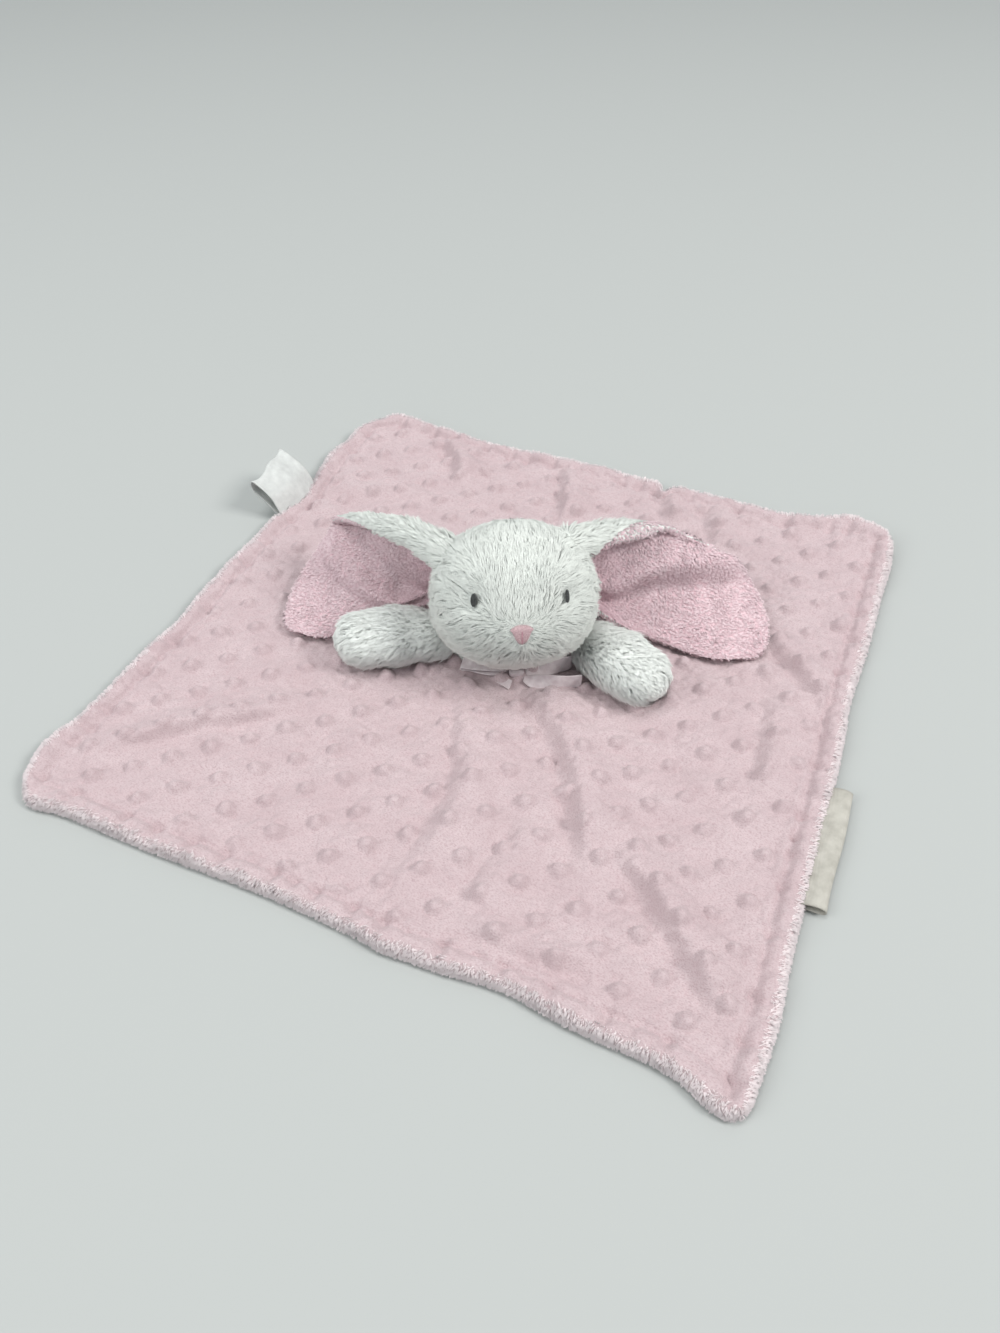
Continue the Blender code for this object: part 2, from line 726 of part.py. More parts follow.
def make_arm(side, group, clearance, finishes):
    """An arm's plush, open at the shoulder, and its stuffing."""
    build = grid_mesh(arm_surface(side, 0.0))
    bmesh.ops.remove_doubles(build, verts=build.verts, dist=weld_distance)
    build.normal_update()
    middle = (shoulder(side) + paw(side)) / 2
    face_outward(build, Vector((middle.x, middle.y, cloth_seat() + arm_half_height)))
    name = "arm_" + side + "_plush"
    plush = add_object(name, mesh_from(name, build), finishes["plush"], group)
    solidify(plush, arm_plush_thickness, -1.0)
    cut(plush, clearance)
    build = grid_mesh(arm_surface(side, arm_plush_thickness + stuffing_gap))
    bmesh.ops.remove_doubles(build, verts=build.verts, dist=weld_distance)
    bmesh.ops.holes_fill(build, edges=build.edges)
    bmesh.ops.recalc_face_normals(build, faces=build.faces)
    name = "arm_" + side + "_stuffing"
    stuffing = add_object(name, mesh_from(name, build), finishes["stuffing"], group)
    cut(stuffing, clearance)
    return [plush, stuffing]


# Ears

def track(stations, t):
    """A smooth curve through evenly spaced stations."""
    place = t * (len(stations) - 1)
    i = min(int(place), len(stations) - 2)
    local = place - i
    before, here = stations[max(i - 1, 0)], stations[i]
    after, last = stations[i + 1], stations[min(i + 2, len(stations) - 1)]
    point = []
    for p0, p1, p2, p3 in zip(before, here, after, last):
        slope, bend, twist = p2 - p0, 2 * p0 - 5 * p1 + 4 * p2 - p3, 3 * (p1 - p2) + p3 - p0
        point.append(p1 + local * (slope + local * (bend + local * twist)) / 2)
    return point


def ear_track(stations, t):
    """A point on an ear's front edge or crest."""
    return head_centre() + Vector(track(stations, t)) * ear_length


def ear_bed():
    """Lowest height of the surface between an ear's two layers."""
    return cloth_seat() + ear_outer_thickness + ear_bed_gap


def ear_point(front_stations, crest_stations, t, v, turn):
    """A point between an ear's layers: t along it, v from front edge to crest, then the rolled crest."""
    front, crest = ear_track(front_stations, t), ear_track(crest_stations, t)
    rise = crest.z - front.z
    across = Vector((crest.x - front.x, crest.y - front.y, 0))
    point = front + across * v
    point.z = max(front.z + rise * v ** ear_hollow_power, ear_bed())
    far = ear_track(front_stations, 1) + ear_track(crest_stations, 1)
    near = ear_track(front_stations, ear_middle_share) + ear_track(crest_stations, ear_middle_share)
    outward = Vector((far.x - near.x, far.y - near.y, 0)).normalized()
    point += outward * (ear_end_bulge * t ** ear_bulge_power * (1 - (2 * v - 1) ** 2))
    if turn > 0:
        tangent = (across + Vector((0, 0, ear_hollow_power * rise))).normalized()
        inward = Vector((0, 0, 1)) * across.length - across.normalized() * (ear_hollow_power * rise)
        inward.normalize()
        radius = ear_curl_radius * (1 - ear_curl_fade_share * min(1.0, t / ear_curl_end_share) ** 2)
        point += (inward * (1 - math.cos(turn)) + tangent * math.sin(turn)) * radius
    return point


def ear_build(front_stations, crest_stations):
    """The open surface between an ear's two layers, facing its lining."""
    across = [(v, 0.0) for v in steps(0.0, 1.0, 7)]
    across += [(1.0, turn) for turn in steps(0.0, ear_curl_turn, 4)[1:]]
    rows = [[ear_point(front_stations, crest_stations, t, v, turn) for v, turn in across]
            for t in steps(0.0, 1.0, 12)]
    build = grid_mesh(rows)
    face_upward(build)
    return build


def make_ear(side, front_stations, crest_stations, group, head_cutter, finishes):
    """An ear's plush back and its velour lining."""
    name = "ear_" + side + "_outer"
    build = ear_build(front_stations, crest_stations)
    outer = add_object(name, mesh_from(name, build), finishes["plush"], group)
    solidify(outer, ear_outer_thickness, -1.0)
    build = ear_build(front_stations, crest_stations)
    for vert in build.verts:
        vert.co += vert.normal * touch_gap
    name = "ear_" + side + "_lining"
    lining = add_object(name, mesh_from(name, build), finishes["velour"], group)
    solidify(lining, ear_lining_thickness, 1.0)
    for item in (outer, lining):
        cut(item, head_cutter)
    return [outer, lining]


def ear_pivot(crest_stations):
    """The top of an ear's seam, where its crest leaves the head."""
    inverse = head_matrix().inverted()
    for t in steps(0.0, ear_middle_share, 50):
        point = ear_track(crest_stations, t)
        local = inverse @ point
        if local.length > head_reach(local.normalized(), 0.0):
            return point + Vector((0, 0, 2 * ear_curl_radius))
    return ear_track(crest_stations, 0.0)


# Ribbon

def make_band(group, finish):
    """The ribbon round the neck."""
    pivot = neck_pivot()
    build = bmesh.new()
    foot = cloth_seat() + band_lift
    inner = neck_stem_radius + band_gap
    outer, top = band_radius(), foot + band_height
    corners = [(inner, foot), (inner, top), (outer, top), (outer, foot)]
    points = [build.verts.new((x, 0, z)) for x, z in corners]
    for i, point in enumerate(points):
        build.edges.new((point, points[(i + 1) % len(points)]))
    band = add_object("ribbon_band", mesh_from("ribbon_band", build), finish, group)
    band.location = (pivot.x, pivot.y, 0)
    turn = band.modifiers.new("turn", "SCREW")
    turn.steps = 20
    turn.render_steps = 20
    turn.use_merge_vertices = True
    turn.merge_threshold = weld_distance
    return band


def knot_centre():
    """The middle of the bow's knot, on the cloth in front of the neck."""
    forward = neck_forward + band_radius() + touch_gap + knot_depth / 2
    plan = head_centre() + ahead(head_yaw) * forward
    return Vector((plan.x, plan.y, cloth_seat() + knot_height / 2))


def make_knot(group, finish):
    """The bow's knot, a small pad from a coarse cage."""
    build = bmesh.new()
    bmesh.ops.create_cube(build, size=1)
    size = Matrix.Diagonal((knot_length, knot_depth, knot_height, 1))
    build.transform(Matrix.Translation(knot_centre()) @ Matrix.Rotation(head_yaw, 4, "Z") @ size)
    knot = add_object("bow_knot", mesh_from("bow_knot", build), finish, group)
    rounding = knot.modifiers.new("rounding", "BEVEL")
    rounding.width = knot_rounding
    rounding.segments = 2
    return knot


def make_ribbon(name, end_shares, stations, group, finish):
    """A stretch of ribbon from the knot towards an end, lying flat or standing on edge."""
    right, front = aside(head_yaw), ahead(head_yaw)
    reach = (right * end_shares[0] + front * end_shares[1]) * ribbon_width
    along = reach.normalized()
    across = Vector((-along.y, along.x, 0))
    if across.dot(front) < 0:
        across = -across
    knot = knot_centre()
    fine = [track(stations, t) for t in steps(0.0, 1.0, 2 * (len(stations) - 1))]
    low_edge, high_edge = [], []
    for share, drift, lift, lean, width in fine:
        middle = Vector((knot.x, knot.y, 0)) + reach * share + across * (drift * ribbon_width)
        turn = lean * math.pi / 2
        half = ribbon_width * width / 2
        middle.z = cloth_seat() + lift * ribbon_width + half * abs(math.sin(turn))
        direction = across * -math.cos(turn) + Vector((0, 0, math.sin(turn)))
        low_edge.append(middle - direction * half)
        high_edge.append(middle + direction * half)
    ribbon = add_object(name, mesh_from(name, grid_mesh([low_edge, high_edge])), finish, group)
    solidify(ribbon, ribbon_thickness, 0.0)
    return ribbon


# Labels

def side_reach(sign, y):
    """Where the blanket's left or right side lies at a place along it."""
    corners = [cloth_point(sign, b) for b in cloth_shares(0.0)]
    return float(np.interp(y, [c[1] for c in corners], [c[0] for c in corners]))


def make_label(name, sign, places, sizes, section, group, finish):
    """A folded label that stands out of the blanket's side, sign -1 left or 1 right."""
    middle_y, width = places
    reach, skew, rise, foot = sizes
    rows = []
    for share in steps(-0.5, 0.5, 4):
        y = middle_y + width * share
        edge = side_reach(sign, y) + sign * label_edge_gap
        grown = reach * (1 + skew * share)
        rows.append([(edge + sign * grown * out, y, foot + rise * up) for out, up in section])
    label = add_object(name, mesh_from(name, grid_mesh(rows)), finish, group)
    solidify(label, label_thickness, 0.0)
    return label


def label_root(sign, middle_y, foot):
    """The middle of the seam that holds a label."""
    return Vector((side_reach(sign, middle_y), middle_y, foot))


# Assembly

def hang_on(name, place, children, parent=None):
    """An empty on a joint's axis, with the pieces that turn about it."""
    empty = bpy.data.objects.new(name, None)
    bpy.context.scene.collection.objects.link(empty)
    empty.empty_display_size = neck_ball_radius
    empty.location = place
    bpy.context.view_layer.update()
    if parent is not None:
        empty.parent = parent
        empty.matrix_parent_inverse = parent.matrix_world.inverted()
        bpy.context.view_layer.update()
    for child in children:
        child.parent = empty
        child.matrix_parent_inverse = empty.matrix_world.inverted()
    return empty


def main():
    """Build the whole lovey."""
    for item in list(bpy.data.objects):
        bpy.data.objects.remove(item)
    group = collection("comfort_blanket_lovey")
    guides = collection("cutters")
    finishes = {
        "plush": material("white_plush", (0.80, 0.83, 0.80), 0.95),
        "stuffing": material("stuffing", (0.86, 0.86, 0.84), 1.0),
        "velour": material("pink_velour", (0.72, 0.43, 0.53), 0.9),
        "front": material("pink_dot_plush", (0.74, 0.56, 0.60), 0.9),
        "backing": material("pale_pink_plush", (0.80, 0.68, 0.71), 0.95),
        "satin": material("pink_satin", (0.70, 0.58, 0.60), 0.4),
        "thread": material("pink_thread", (0.72, 0.55, 0.59), 0.7),
        "eye": material("charcoal_thread", (0.05, 0.06, 0.06), 0.5),
        "nose": material("rose_thread", (0.66, 0.42, 0.46), 0.6),
        "care": material("white_satin", (0.86, 0.86, 0.86), 0.5),
        "name": material("cream_weave", (0.80, 0.77, 0.70), 0.7),
    }
    make_backing(group, finishes["backing"])
    make_front(group, finishes["front"])
    make_topstitch(group, finishes["thread"])

    nod_cutter = make_head_body("head_clearance_cutter", -head_nod_clearance, guides, None)
    ear_cutter = make_head_body("ear_seat_cutter", -ear_head_gap, guides, None)
    make_neck(group, finishes["stuffing"])
    make_yoke(group, guides, nod_cutter, finishes["plush"])
    make_band(group, finishes["satin"])
    make_knot(group, finishes["satin"])
    make_ribbon("bow_loop_left", loop_left_end_shares, flat_loop_shares, group, finishes["satin"])
    make_ribbon("bow_loop_right", loop_right_end_shares, round_loop_shares, group, finishes["satin"])
    make_ribbon("bow_tail_left", tail_left_end_shares, short_tail_shares, group, finishes["satin"])
    make_ribbon("bow_tail_right", tail_right_end_shares, long_tail_shares, group, finishes["satin"])

    head = make_head(group, guides, finishes)
    head.append(make_nose(group, finishes["nose"]))
    head.append(make_eye("eye_left", -1, group, finishes["eye"]))
    head.append(make_eye("eye_right", 1, group, finishes["eye"]))
    head_axis = hang_on("head_nod_axis", neck_pivot(), head)
    for side, front, crest in (("left", left_front_shares, left_crest_shares),
                               ("right", right_front_shares, right_crest_shares)):
        ear = make_ear(side, front, crest, group, ear_cutter, finishes)
        hang_on("ear_" + side + "_axis", ear_pivot(crest), ear, head_axis)

    for side in ("left", "right"):
        arm = make_arm(side, group, nod_cutter, finishes)
        hang_on("arm_" + side + "_axis", shoulder(side) + Vector((0, 0, cloth_seat())), arm)

    care = make_label("care_label", -1, (care_label_y, care_label_width),
                      (care_label_reach, care_label_skew_share, care_label_rise, care_label_z),
                      care_section_shares, group, finishes["care"])
    hang_on("care_label_axis", label_root(-1, care_label_y, care_label_z), [care])
    name = make_label("name_label", 1, (name_label_y, name_label_width),
                      (name_label_reach, 0.0, name_label_rise, name_label_z),
                      name_section_shares, group, finishes["name"])
    hang_on("name_label_axis", label_root(1, name_label_y, name_label_z), [name])

    for cutter in guides.objects:
        cutter.hide_render = True
        cutter.display_type = "WIRE"


main()
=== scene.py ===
"""Looks of the comfort blanket lovey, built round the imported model.

Metres, +Z up, in the model's own frame: X runs right along the blanket's front edge, Y
away from it, and the blanket's underside lies on z = 0.
"""

import math

import bpy
import numpy as np
from mathutils import Matrix, Vector
from mathutils.kdtree import KDTree


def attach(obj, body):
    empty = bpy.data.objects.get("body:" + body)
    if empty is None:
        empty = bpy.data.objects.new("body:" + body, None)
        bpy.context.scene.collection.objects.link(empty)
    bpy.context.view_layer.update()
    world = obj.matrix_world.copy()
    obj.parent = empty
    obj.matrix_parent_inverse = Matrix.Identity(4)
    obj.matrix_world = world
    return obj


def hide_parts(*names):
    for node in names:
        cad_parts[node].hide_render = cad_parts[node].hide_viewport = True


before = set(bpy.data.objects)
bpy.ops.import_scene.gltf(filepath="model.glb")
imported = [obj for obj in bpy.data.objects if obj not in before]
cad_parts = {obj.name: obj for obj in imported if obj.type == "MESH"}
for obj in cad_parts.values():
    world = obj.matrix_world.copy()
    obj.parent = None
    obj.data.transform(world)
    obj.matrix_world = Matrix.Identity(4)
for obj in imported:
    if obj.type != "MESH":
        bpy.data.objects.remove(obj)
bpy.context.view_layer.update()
rng = np.random.default_rng(11)

# Blanket, as the model has it
blanket_width = 0.36
blanket_shift_x = -0.002
blanket_shift_y = 0.0025
edge_reach_power = 8
cloth_top_z = 0.0042
cloth_seat = 0.0045
stitch_inset = 0.011
left_bend_shares = ((-0.42, 0.015, 0.04), (-0.14, -0.008, 0.05), (0.205, -0.02, 0.06),
                    (0.34, 0.006, 0.04), (0.47, -0.012, 0.03))
right_bend_shares = ((-0.4, 0.004, 0.05), (0.11, -0.006, 0.08), (0.42, 0.003, 0.04))
front_bend_shares = ((-0.46, 0.008, 0.03), (-0.1, -0.006, 0.12), (0.06, 0.004, 0.03),
                     (0.21, -0.01, 0.06), (0.48, 0.026, 0.05))
back_bend_shares = ((-0.43, 0.002, 0.04), (-0.25, -0.01, 0.09), (-0.025, 0.006, 0.03),
                    (0.103, -0.026, 0.01), (0.43, 0.026, 0.06))

# Blanket, finer than the model
corner_radii = {"front_left": 0.012, "front_right": 0.005, "back_left": 0.025, "back_right": 0.009}
corner_pull = 0.0014
rim_mid_z = 0.0022
rim_top_z = 0.007
rim_round = 0.0056
rim_slope = 0.006
groove_depth = 0.003
groove_width = 0.0024
pucker_depth = 0.0034
pucker_width = 0.0026
pucker_spacing = 0.019
pucker_outset = 0.002
pucker_reach = 0.0055
pucker_rim_fade = 0.005
crease_depth = 0.0012
crease_width = 0.0032
crease_place_share = 1.7
fold_end_share = 0.15
ripple_height = 0.0009
small_ripple_share = 0.5
broad_wave_lengths = (0.014, 0.04)
small_wave_lengths = (0.0035, 0.0085)
cloth_thinnest = 0.0012
backing_drop = 0.0005
front_cells = 280
backing_cells = 150
rim_insets = (0, 0.0002, 0.0006, 0.0011, 0.0018, 0.0026, 0.0035, 0.0045, 0.0055, 0.0065,
              0.0075, 0.0084, 0.0092, 0.0099, 0.0106, 0.0113, 0.012, 0.0128, 0.0137)
stitch_length = 0.0027
stitch_gap = 0.0009
stitch_radius = 0.00035
stitch_bed = 0.0002
stitch_sinks = (0.0006, 0.0, -0.0001, 0.0, 0.0006)

# Folds: points along each fold's foot, then height, steep width and gentle width
fold_shares = (
    (((0.036, -0.044), (0.12, -0.12), (0.167, -0.185), (0.2, -0.245), (0.24, -0.33)), 0.018, 0.015, 0.05),
    (((0.23, -0.262), (0.31, -0.3), (0.352, -0.34), (0.39, -0.375), (0.44, -0.43)), 0.018, 0.012, 0.04),
    (((-0.036, -0.09), (-0.01, -0.16), (0.022, -0.22), (0.034, -0.28), (0.03, -0.41)), 0.013, 0.017, 0.045),
    (((0.145, -0.255), (0.13, -0.317), (0.122, -0.37), (0.118, -0.425)), 0.009, 0.018, 0.036),
    (((-0.445, -0.4), (-0.385, -0.35), (-0.34, -0.305), (-0.286, -0.268), (-0.215, -0.21)),
     0.015, 0.008, 0.026),
    (((0.11, -0.445), (0.186, -0.44), (0.247, -0.434), (0.31, -0.41)), 0.01, 0.012, 0.024),
    (((-0.345, 0.475), (-0.292, 0.42), (-0.25, 0.365)), 0.0185, 0.013, 0.034),
    (((-0.103, 0.475), (-0.069, 0.417), (-0.048, 0.335)), 0.0175, 0.013, 0.032),
    (((0.096, 0.48), (0.117, 0.43), (0.13, 0.4)), 0.013, 0.014, 0.026),
    (((0.17, 0.49), (0.206, 0.408), (0.225, 0.37)), 0.013, 0.018, 0.032),
    (((0.37, 0.083), (0.388, 0.014), (0.395, -0.031), (0.397, -0.115)), 0.0125, 0.015, 0.034),
    (((0.34, 0.195), (0.415, 0.13), (0.458, 0.075)), 0.016, 0.011, 0.03),
    (((-0.46, 0.235), (-0.4, 0.252), (-0.34, 0.29)), 0.008, 0.02, 0.034),
)
lifted_corner_shares = (((0.44, 0.515), 0.012, 0.085), ((-0.445, 0.5), 0.007, 0.07))

# Raised dots of the front cloth: one dot's place and the two steps between dots
dot_x, dot_y = -0.109, -0.118
dot_step_x, dot_step_y = 0.0283, -0.0015
dot_row_x, dot_row_y = 0.0142, 0.0126
dot_height = 0.0036
dot_radius = 0.0043
dot_power = 0.88
dot_size_change = 0.07
dot_rim_loss = 0.6
dot_moat = 0.0004
dot_moat_width = 0.001
dot_rim_fade = (0.001, 0.005)
dot_slip_x, dot_slip_y = -0.004, -0.0034
dot_slip_shares = (0.2, -0.16)
dot_slip_width = 0.03
dot_slip_front_share = 0.02
dot_slip_fronts = (0.02, 0.09)

# Head
head_half_width = 0.04
head_half_depth = 0.036
head_half_height = 0.0362
head_roundness = 2.2
chin_taper_share = 0.05
head_x, head_y, head_z = 0.0023, 0.0029, 0.046
head_yaw = math.radians(29)
head_pitch = math.radians(31)
crown_seam_angle = math.radians(100)
nape_seam_angle = math.radians(247)
skin_inset = 0.0006
skin_overlap = 0.0016
muzzle_rise = 0.0016
muzzle_radius = 0.014
muzzle_drop = 0.004
eye_dent = 0.0018
eye_dent_radius = 0.007
forehead_half_width = 0.014
forehead_over_nose = (0.002, 0.012)

# Neck and yoke
neck_forward = 0.004
neck_z = 0.016
neck_stem_radius = 0.0078
neck_opening_radius = 0.013
yoke_half_width = 0.031
yoke_half_depth = 0.012
yoke_height = 0.0085
yoke_back = 0.003
yoke_lift = 0.0003
yoke_room = 0.0024
yoke_fur_gap = 0.002
yoke_fur_least = 0.0008
yoke_head_gap = 0.001
neck_rise = 0.0062
neck_tie_reach = 0.003
neck_tie_share = 0.05
neck_gathers = 14
neck_gather_share = 0.03

# Face
eye_side = 0.0225
eye_height = 0.0045
left_eye_shift = 0.0008
left_eye_rise = 0.0009
eye_width = 0.0036
eye_width_shares = {"left": 1.05, "right": 0.7}
eye_length = 0.0064
nose_drop = 0.0119
nose_width = 0.0112
nose_height = 0.0108
nose_pad = 0.0018
nose_narrowing = 0.74
thread_radius = 0.00026
patch_step = 0.0004
eye_tilt = 0.0001
eye_pad = 0.0011
eye_lift = 0.0006
nose_pinch = 0.0004
nose_line_lift = 0.0003

# Ribbon, its band round the neck and its knot
ribbon_width = 0.009
selvedge_swell = 0.35
selvedge_share = 0.08
ribbon_thickness = 0.00035
band_height = 0.0034
band_lift = 0.0012
band_gap = 0.0004
band_thickness = 0.001
band_bulge = 0.0003
knot_length = 0.008
knot_depth = 0.0054
knot_height = 0.0034
knot_gap = 0.0003
knot_squareness = 0.6
knot_crease_share = 0.06
# Stations of a loop or tail: share of its reach, drift, lift, lean and width, in ribbon widths
flat_loop_shares = (
    (0.16, 0.0, 0.1, 0.0, 0.4), (0.45, 0.08, 0.1, 0.06, 0.9), (0.8, -0.04, 0.12, 0.0, 1.0),
    (0.97, 0.0, 0.15, 0.0, 1.0), (1.0, 0.0, 0.24, 0.0, 1.0), (0.95, 0.0, 0.34, 0.0, 1.0),
    (0.78, 0.06, 0.38, 0.08, 1.0), (0.45, -0.04, 0.36, 0.0, 0.9), (0.16, 0.0, 0.3, 0.0, 0.4))
round_loop_shares = (
    (0.16, 0.06, 0.08, 0.2, 0.4), (0.4, 0.2, 0.11, 0.45, 0.8), (0.7, 0.24, 0.14, 0.75, 1.0),
    (0.92, 0.18, 0.17, 0.92, 1.0), (1.0, 0.0, 0.18, 1.0, 1.0), (0.92, -0.24, 0.18, 0.98, 1.0),
    (0.7, -0.36, 0.16, 0.9, 1.0), (0.4, -0.36, 0.12, 0.76, 0.8), (0.16, -0.34, 0.1, 0.6, 0.4))
short_tail_shares = ((0.5, 0.0, 0.07, 0.0, 0.4), (0.75, 0.0, 0.06, 0.0, 0.7), (1.0, 0.0, 0.05, 0.0, 0.9))
long_tail_shares = (
    (0.14, 0.36, 0.07, 0.1, 0.4), (0.3, 0.55, 0.05, 0.35, 0.8), (0.56, 0.62, 0.04, 0.75, 1.0),
    (0.8, 0.35, 0.04, 0.95, 1.0), (1.0, 0.0, 0.04, 1.0, 1.0))

# Bow: how far each loop or tail reaches aside and ahead of the knot, in ribbon widths
ribbons = {
    "bow_loop_left": ((-3.15, -0.95), flat_loop_shares),
    "bow_loop_right": ((3.3, -0.15), round_loop_shares),
    "bow_tail_left": ((-0.9, 0.92), short_tail_shares),
    "bow_tail_right": ((3.65, 1.4), long_tail_shares),
}

# Arms
arm_half_width = 0.015
arm_half_height = 0.0122
arm_root_half_width = 0.0105
arm_root_half_height = 0.0078
shoulders = {"left": (-0.028, -0.005), "right": (0.031, 0.022)}
paws = {"left": (-0.0825, -0.0385), "right": (0.086, -0.004)}
arm_root_share = 0.04
arm_swell_share = 0.55
arm_swell_power = 1.5
arm_taper_share = 0.7
paw_seam_share = 0.8
limb_gap = 0.0002
arm_lump_share = 0.035
arm_wave_shares = (0.7, 2.0)
arm_fur_gap = 0.0004
arm_bare_height = 0.0008
arm_fur_rise = (0.0005, 0.005)
arm_fur_least_height = 0.002

# Ears
ear_length = 0.13
ear_back_thickness = 0.0022
ear_lining_thickness = 0.0013
ear_curl_radius = 0.0048
ear_end_bulge = 0.009
ear_bulge_power = 5
ear_corner_pull = 0.0024
ear_hollow_power = 1.9
ear_cup_powers = {"left": 1.9, "right": 1.0}
ear_cup_shares = {"left": 0.8, "right": 0.32}
ear_root_share = -0.07
# Painted shade: how much the ear's pile is darkened near its root, where the cup lies in shadow, and over
# what share of its length
ear_cup_painted_shade = 1.0
ear_cup_painted_shade_share = 0.28
ear_flat_share = 0.7
ear_front_share = 0.12
ear_back_gap = 0.0004
ear_pressed_height = 0.004
ear_pile_split = 0.52
ear_curl_turn = math.radians(195)
ear_tip_turns = {"left": math.radians(150), "right": math.radians(60)}
ear_turn_fades = {"left": (0.75, 1.0), "right": (0.4, 0.65)}
ear_root_flare = 0.003
ear_root_flare_share = 0.16
ear_pink_spans = {"left": ((0.3, 1.02), (0.95, 0.92)), "right": ((0.04, 1.02), (0.66, 0.7))}
ear_curl_fade_share = 0.66
ear_curl_end_share = 0.9
ear_bed_z = 0.0077
ear_edge_share = 0.05
ear_front_shares = {
    "left": ((-0.225, -0.062, -0.01), (-0.44, -0.008, -0.225), (-0.58, -0.125, -0.285),
             (-0.745, -0.265, -0.288), (-0.935, -0.298, -0.288)),
    "right": ((0.225, 0.11, -0.005), (0.385, 0.25, -0.235), (0.535, 0.275, -0.285),
              (0.745, 0.262, -0.288), (0.958, 0.338, -0.288)),
}
ear_crest_shares = {
    "left": ((-0.225, 0.009, 0.105), (-0.457, 0.071, 0.108), (-0.62, 0.106, 0.064),
             (-0.79, 0.166, -0.015), (-0.945, 0.205, -0.098)),
    "right": ((0.126, 0.215, 0.118), (0.24, 0.355, 0.115), (0.404, 0.543, 0.042),
              (0.612, 0.69, -0.094), (0.76, 0.755, -0.198)),
}

# An ear's creases: their line's place and slant, where they set in, and each one's height, place and width
ear_creases = {
    "left": ((0.22, 0.76), (0.0, 0.2), ((0.005, -0.1, 0.13), (-0.004, 0.14, 0.12))),
    "right": ((0.36, 0.46), (0.05, 0.25), ((0.005, 0.17, 0.12), (-0.003, 0.0, 0.09))),
}
ear_unevenness = 0.0004
ear_wave_shares = (0.12, 0.45)

# Labels
label_thickness = 0.0005
label_sewn_in = 0.0012
labels = {
    "care_label": {
        "side": -1, "middle_y": 0.0725, "width": 0.037, "reach": 0.0195, "skew": 0.3, "rise": 0.0235,
        "root_z": 0.0024, "wave": 0.0012, "finish": "care",
        "section": ((0.0, 0.0), (0.2, 0.15), (0.44, 0.34), (0.7, 0.5), (0.93, 0.62), (1.04, 0.74),
                    (1.05, 0.9), (0.97, 0.99), (0.8, 0.93), (0.55, 0.8), (0.3, 0.62), (0.13, 0.38),
                    (0.0, 0.12))},
    "name_label": {
        "side": 1, "middle_y": -0.053, "width": 0.068, "reach": 0.01, "skew": 0.0, "rise": 0.0042,
        "root_z": 0.0016, "wave": 0.0004, "finish": "name",
        "section": ((0.0, 0.0), (0.5, -0.04), (0.88, 0.06), (1.0, 0.42), (0.94, 0.8), (0.72, 1.0),
                    (0.4, 0.95), (0.0, 0.6))},
}

# Fur and pile
fur_length = 0.0078
fur_width = 0.00023
fur_density = 2.6e6
fur_wave_lengths = (0.012, 0.03)
strand_softness = 0.86
strand_swing = 0.1
strand_dip = 0.06
strand_clear = 0.0001
nose_fur_radius = 0.013
nose_fur_cut = 0.45
eye_fur_radius = 0.0075
eye_fur_cut = 0.55
chin_fur_drops = (0.02, 0.03)
chin_fur_cut = 0.5
pile_length = 0.0021
pile_width = 0.00018
pile_density = 2.9e6
arm_fur_density = 4.2e6
yoke_fur_density = 3.0e6
rim_fuzz_floor = 0.0002
rim_fuzz_length = 0.002
rim_fuzz_width = 0.0002
rim_fuzz_density = 4.6e6
rim_fuzz_reach = 0.0045

# Fine relief of the materials
pile_relief = 0.0006
pile_tuft_relief = 0.0008
weave_relief = 0.00012
thread_relief = 0.0002

# Stage: each lamp's place, size, power and colour, and the camera as fitted to the blanket's sides
floor_half = 6.0
floor_z = -0.0006
floor_color = (0.46, 0.48, 0.47)
air_color = (0.93, 0.97, 1.0, 1.0)
air_strength = 0.47
lamps = {
    "key": ((2.3, 0.3, 2.2), 1.0, 58.0, (1.0, 0.985, 0.965)),
    "top": ((-0.5, 0.0, 3.25), 1.5, 40.0, (1.0, 0.99, 0.98)),
    "fill": ((-1.4, -1.45, 1.6), 1.4, 23.0, (0.98, 1.0, 0.985)),
}
sensor_width = 36.0
lens_length = 26.06
nearest_seen = 0.01
camera_place = (0.14255, -0.33453, 0.38074)
camera_right = (0.91568, 0.40191, 0)
camera_up = (-0.29252, 0.66645, 0.68576)
camera_back = (0.27562, -0.62794, 0.72782)

upward = np.array([0, 0, 1.0])


# Curves and meshes

def bell(offset, width):
    """1 at an offset of 0, and less on both sides over a width."""
    return np.exp(-((offset / width) ** 2))


def quarter_round(share):
    """A rise from 0 to 1 like a quarter of a circle, over shares from 0 to 1."""
    return np.sqrt(np.clip(1 - (1 - np.clip(share, 0, 1)) ** 2, 0, 1))


def mesh_of(name, points, faces, normals=None):
    """A mesh from points, arrays of faces with one number of corners each, and shading normals."""
    data = bpy.data.meshes.new(name)
    corners = np.concatenate([f.ravel() for f in faces]).astype(np.int32)
    sizes = np.concatenate([np.full(len(f), f.shape[1]) for f in faces])
    starts = np.concatenate([[0], np.cumsum(sizes)[:-1]]).astype(np.int32)
    data.vertices.add(len(points))
    data.vertices.foreach_set("co", np.asarray(points, np.float32).ravel())
    data.loops.add(len(corners))
    data.loops.foreach_set("vertex_index", corners)
    data.polygons.add(len(sizes))
    data.polygons.foreach_set("loop_start", starts)
    data.update(calc_edges=True)
    data.shade_smooth()
    if normals is not None:
        data.normals_split_custom_set_from_vertices(normals.astype(np.float32))
    return data


def add_object(name, data):
    """A new object of the scene, from its mesh, lamp or camera."""
    made = bpy.data.objects.new(name, data)
    bpy.context.scene.collection.objects.link(made)
    return made


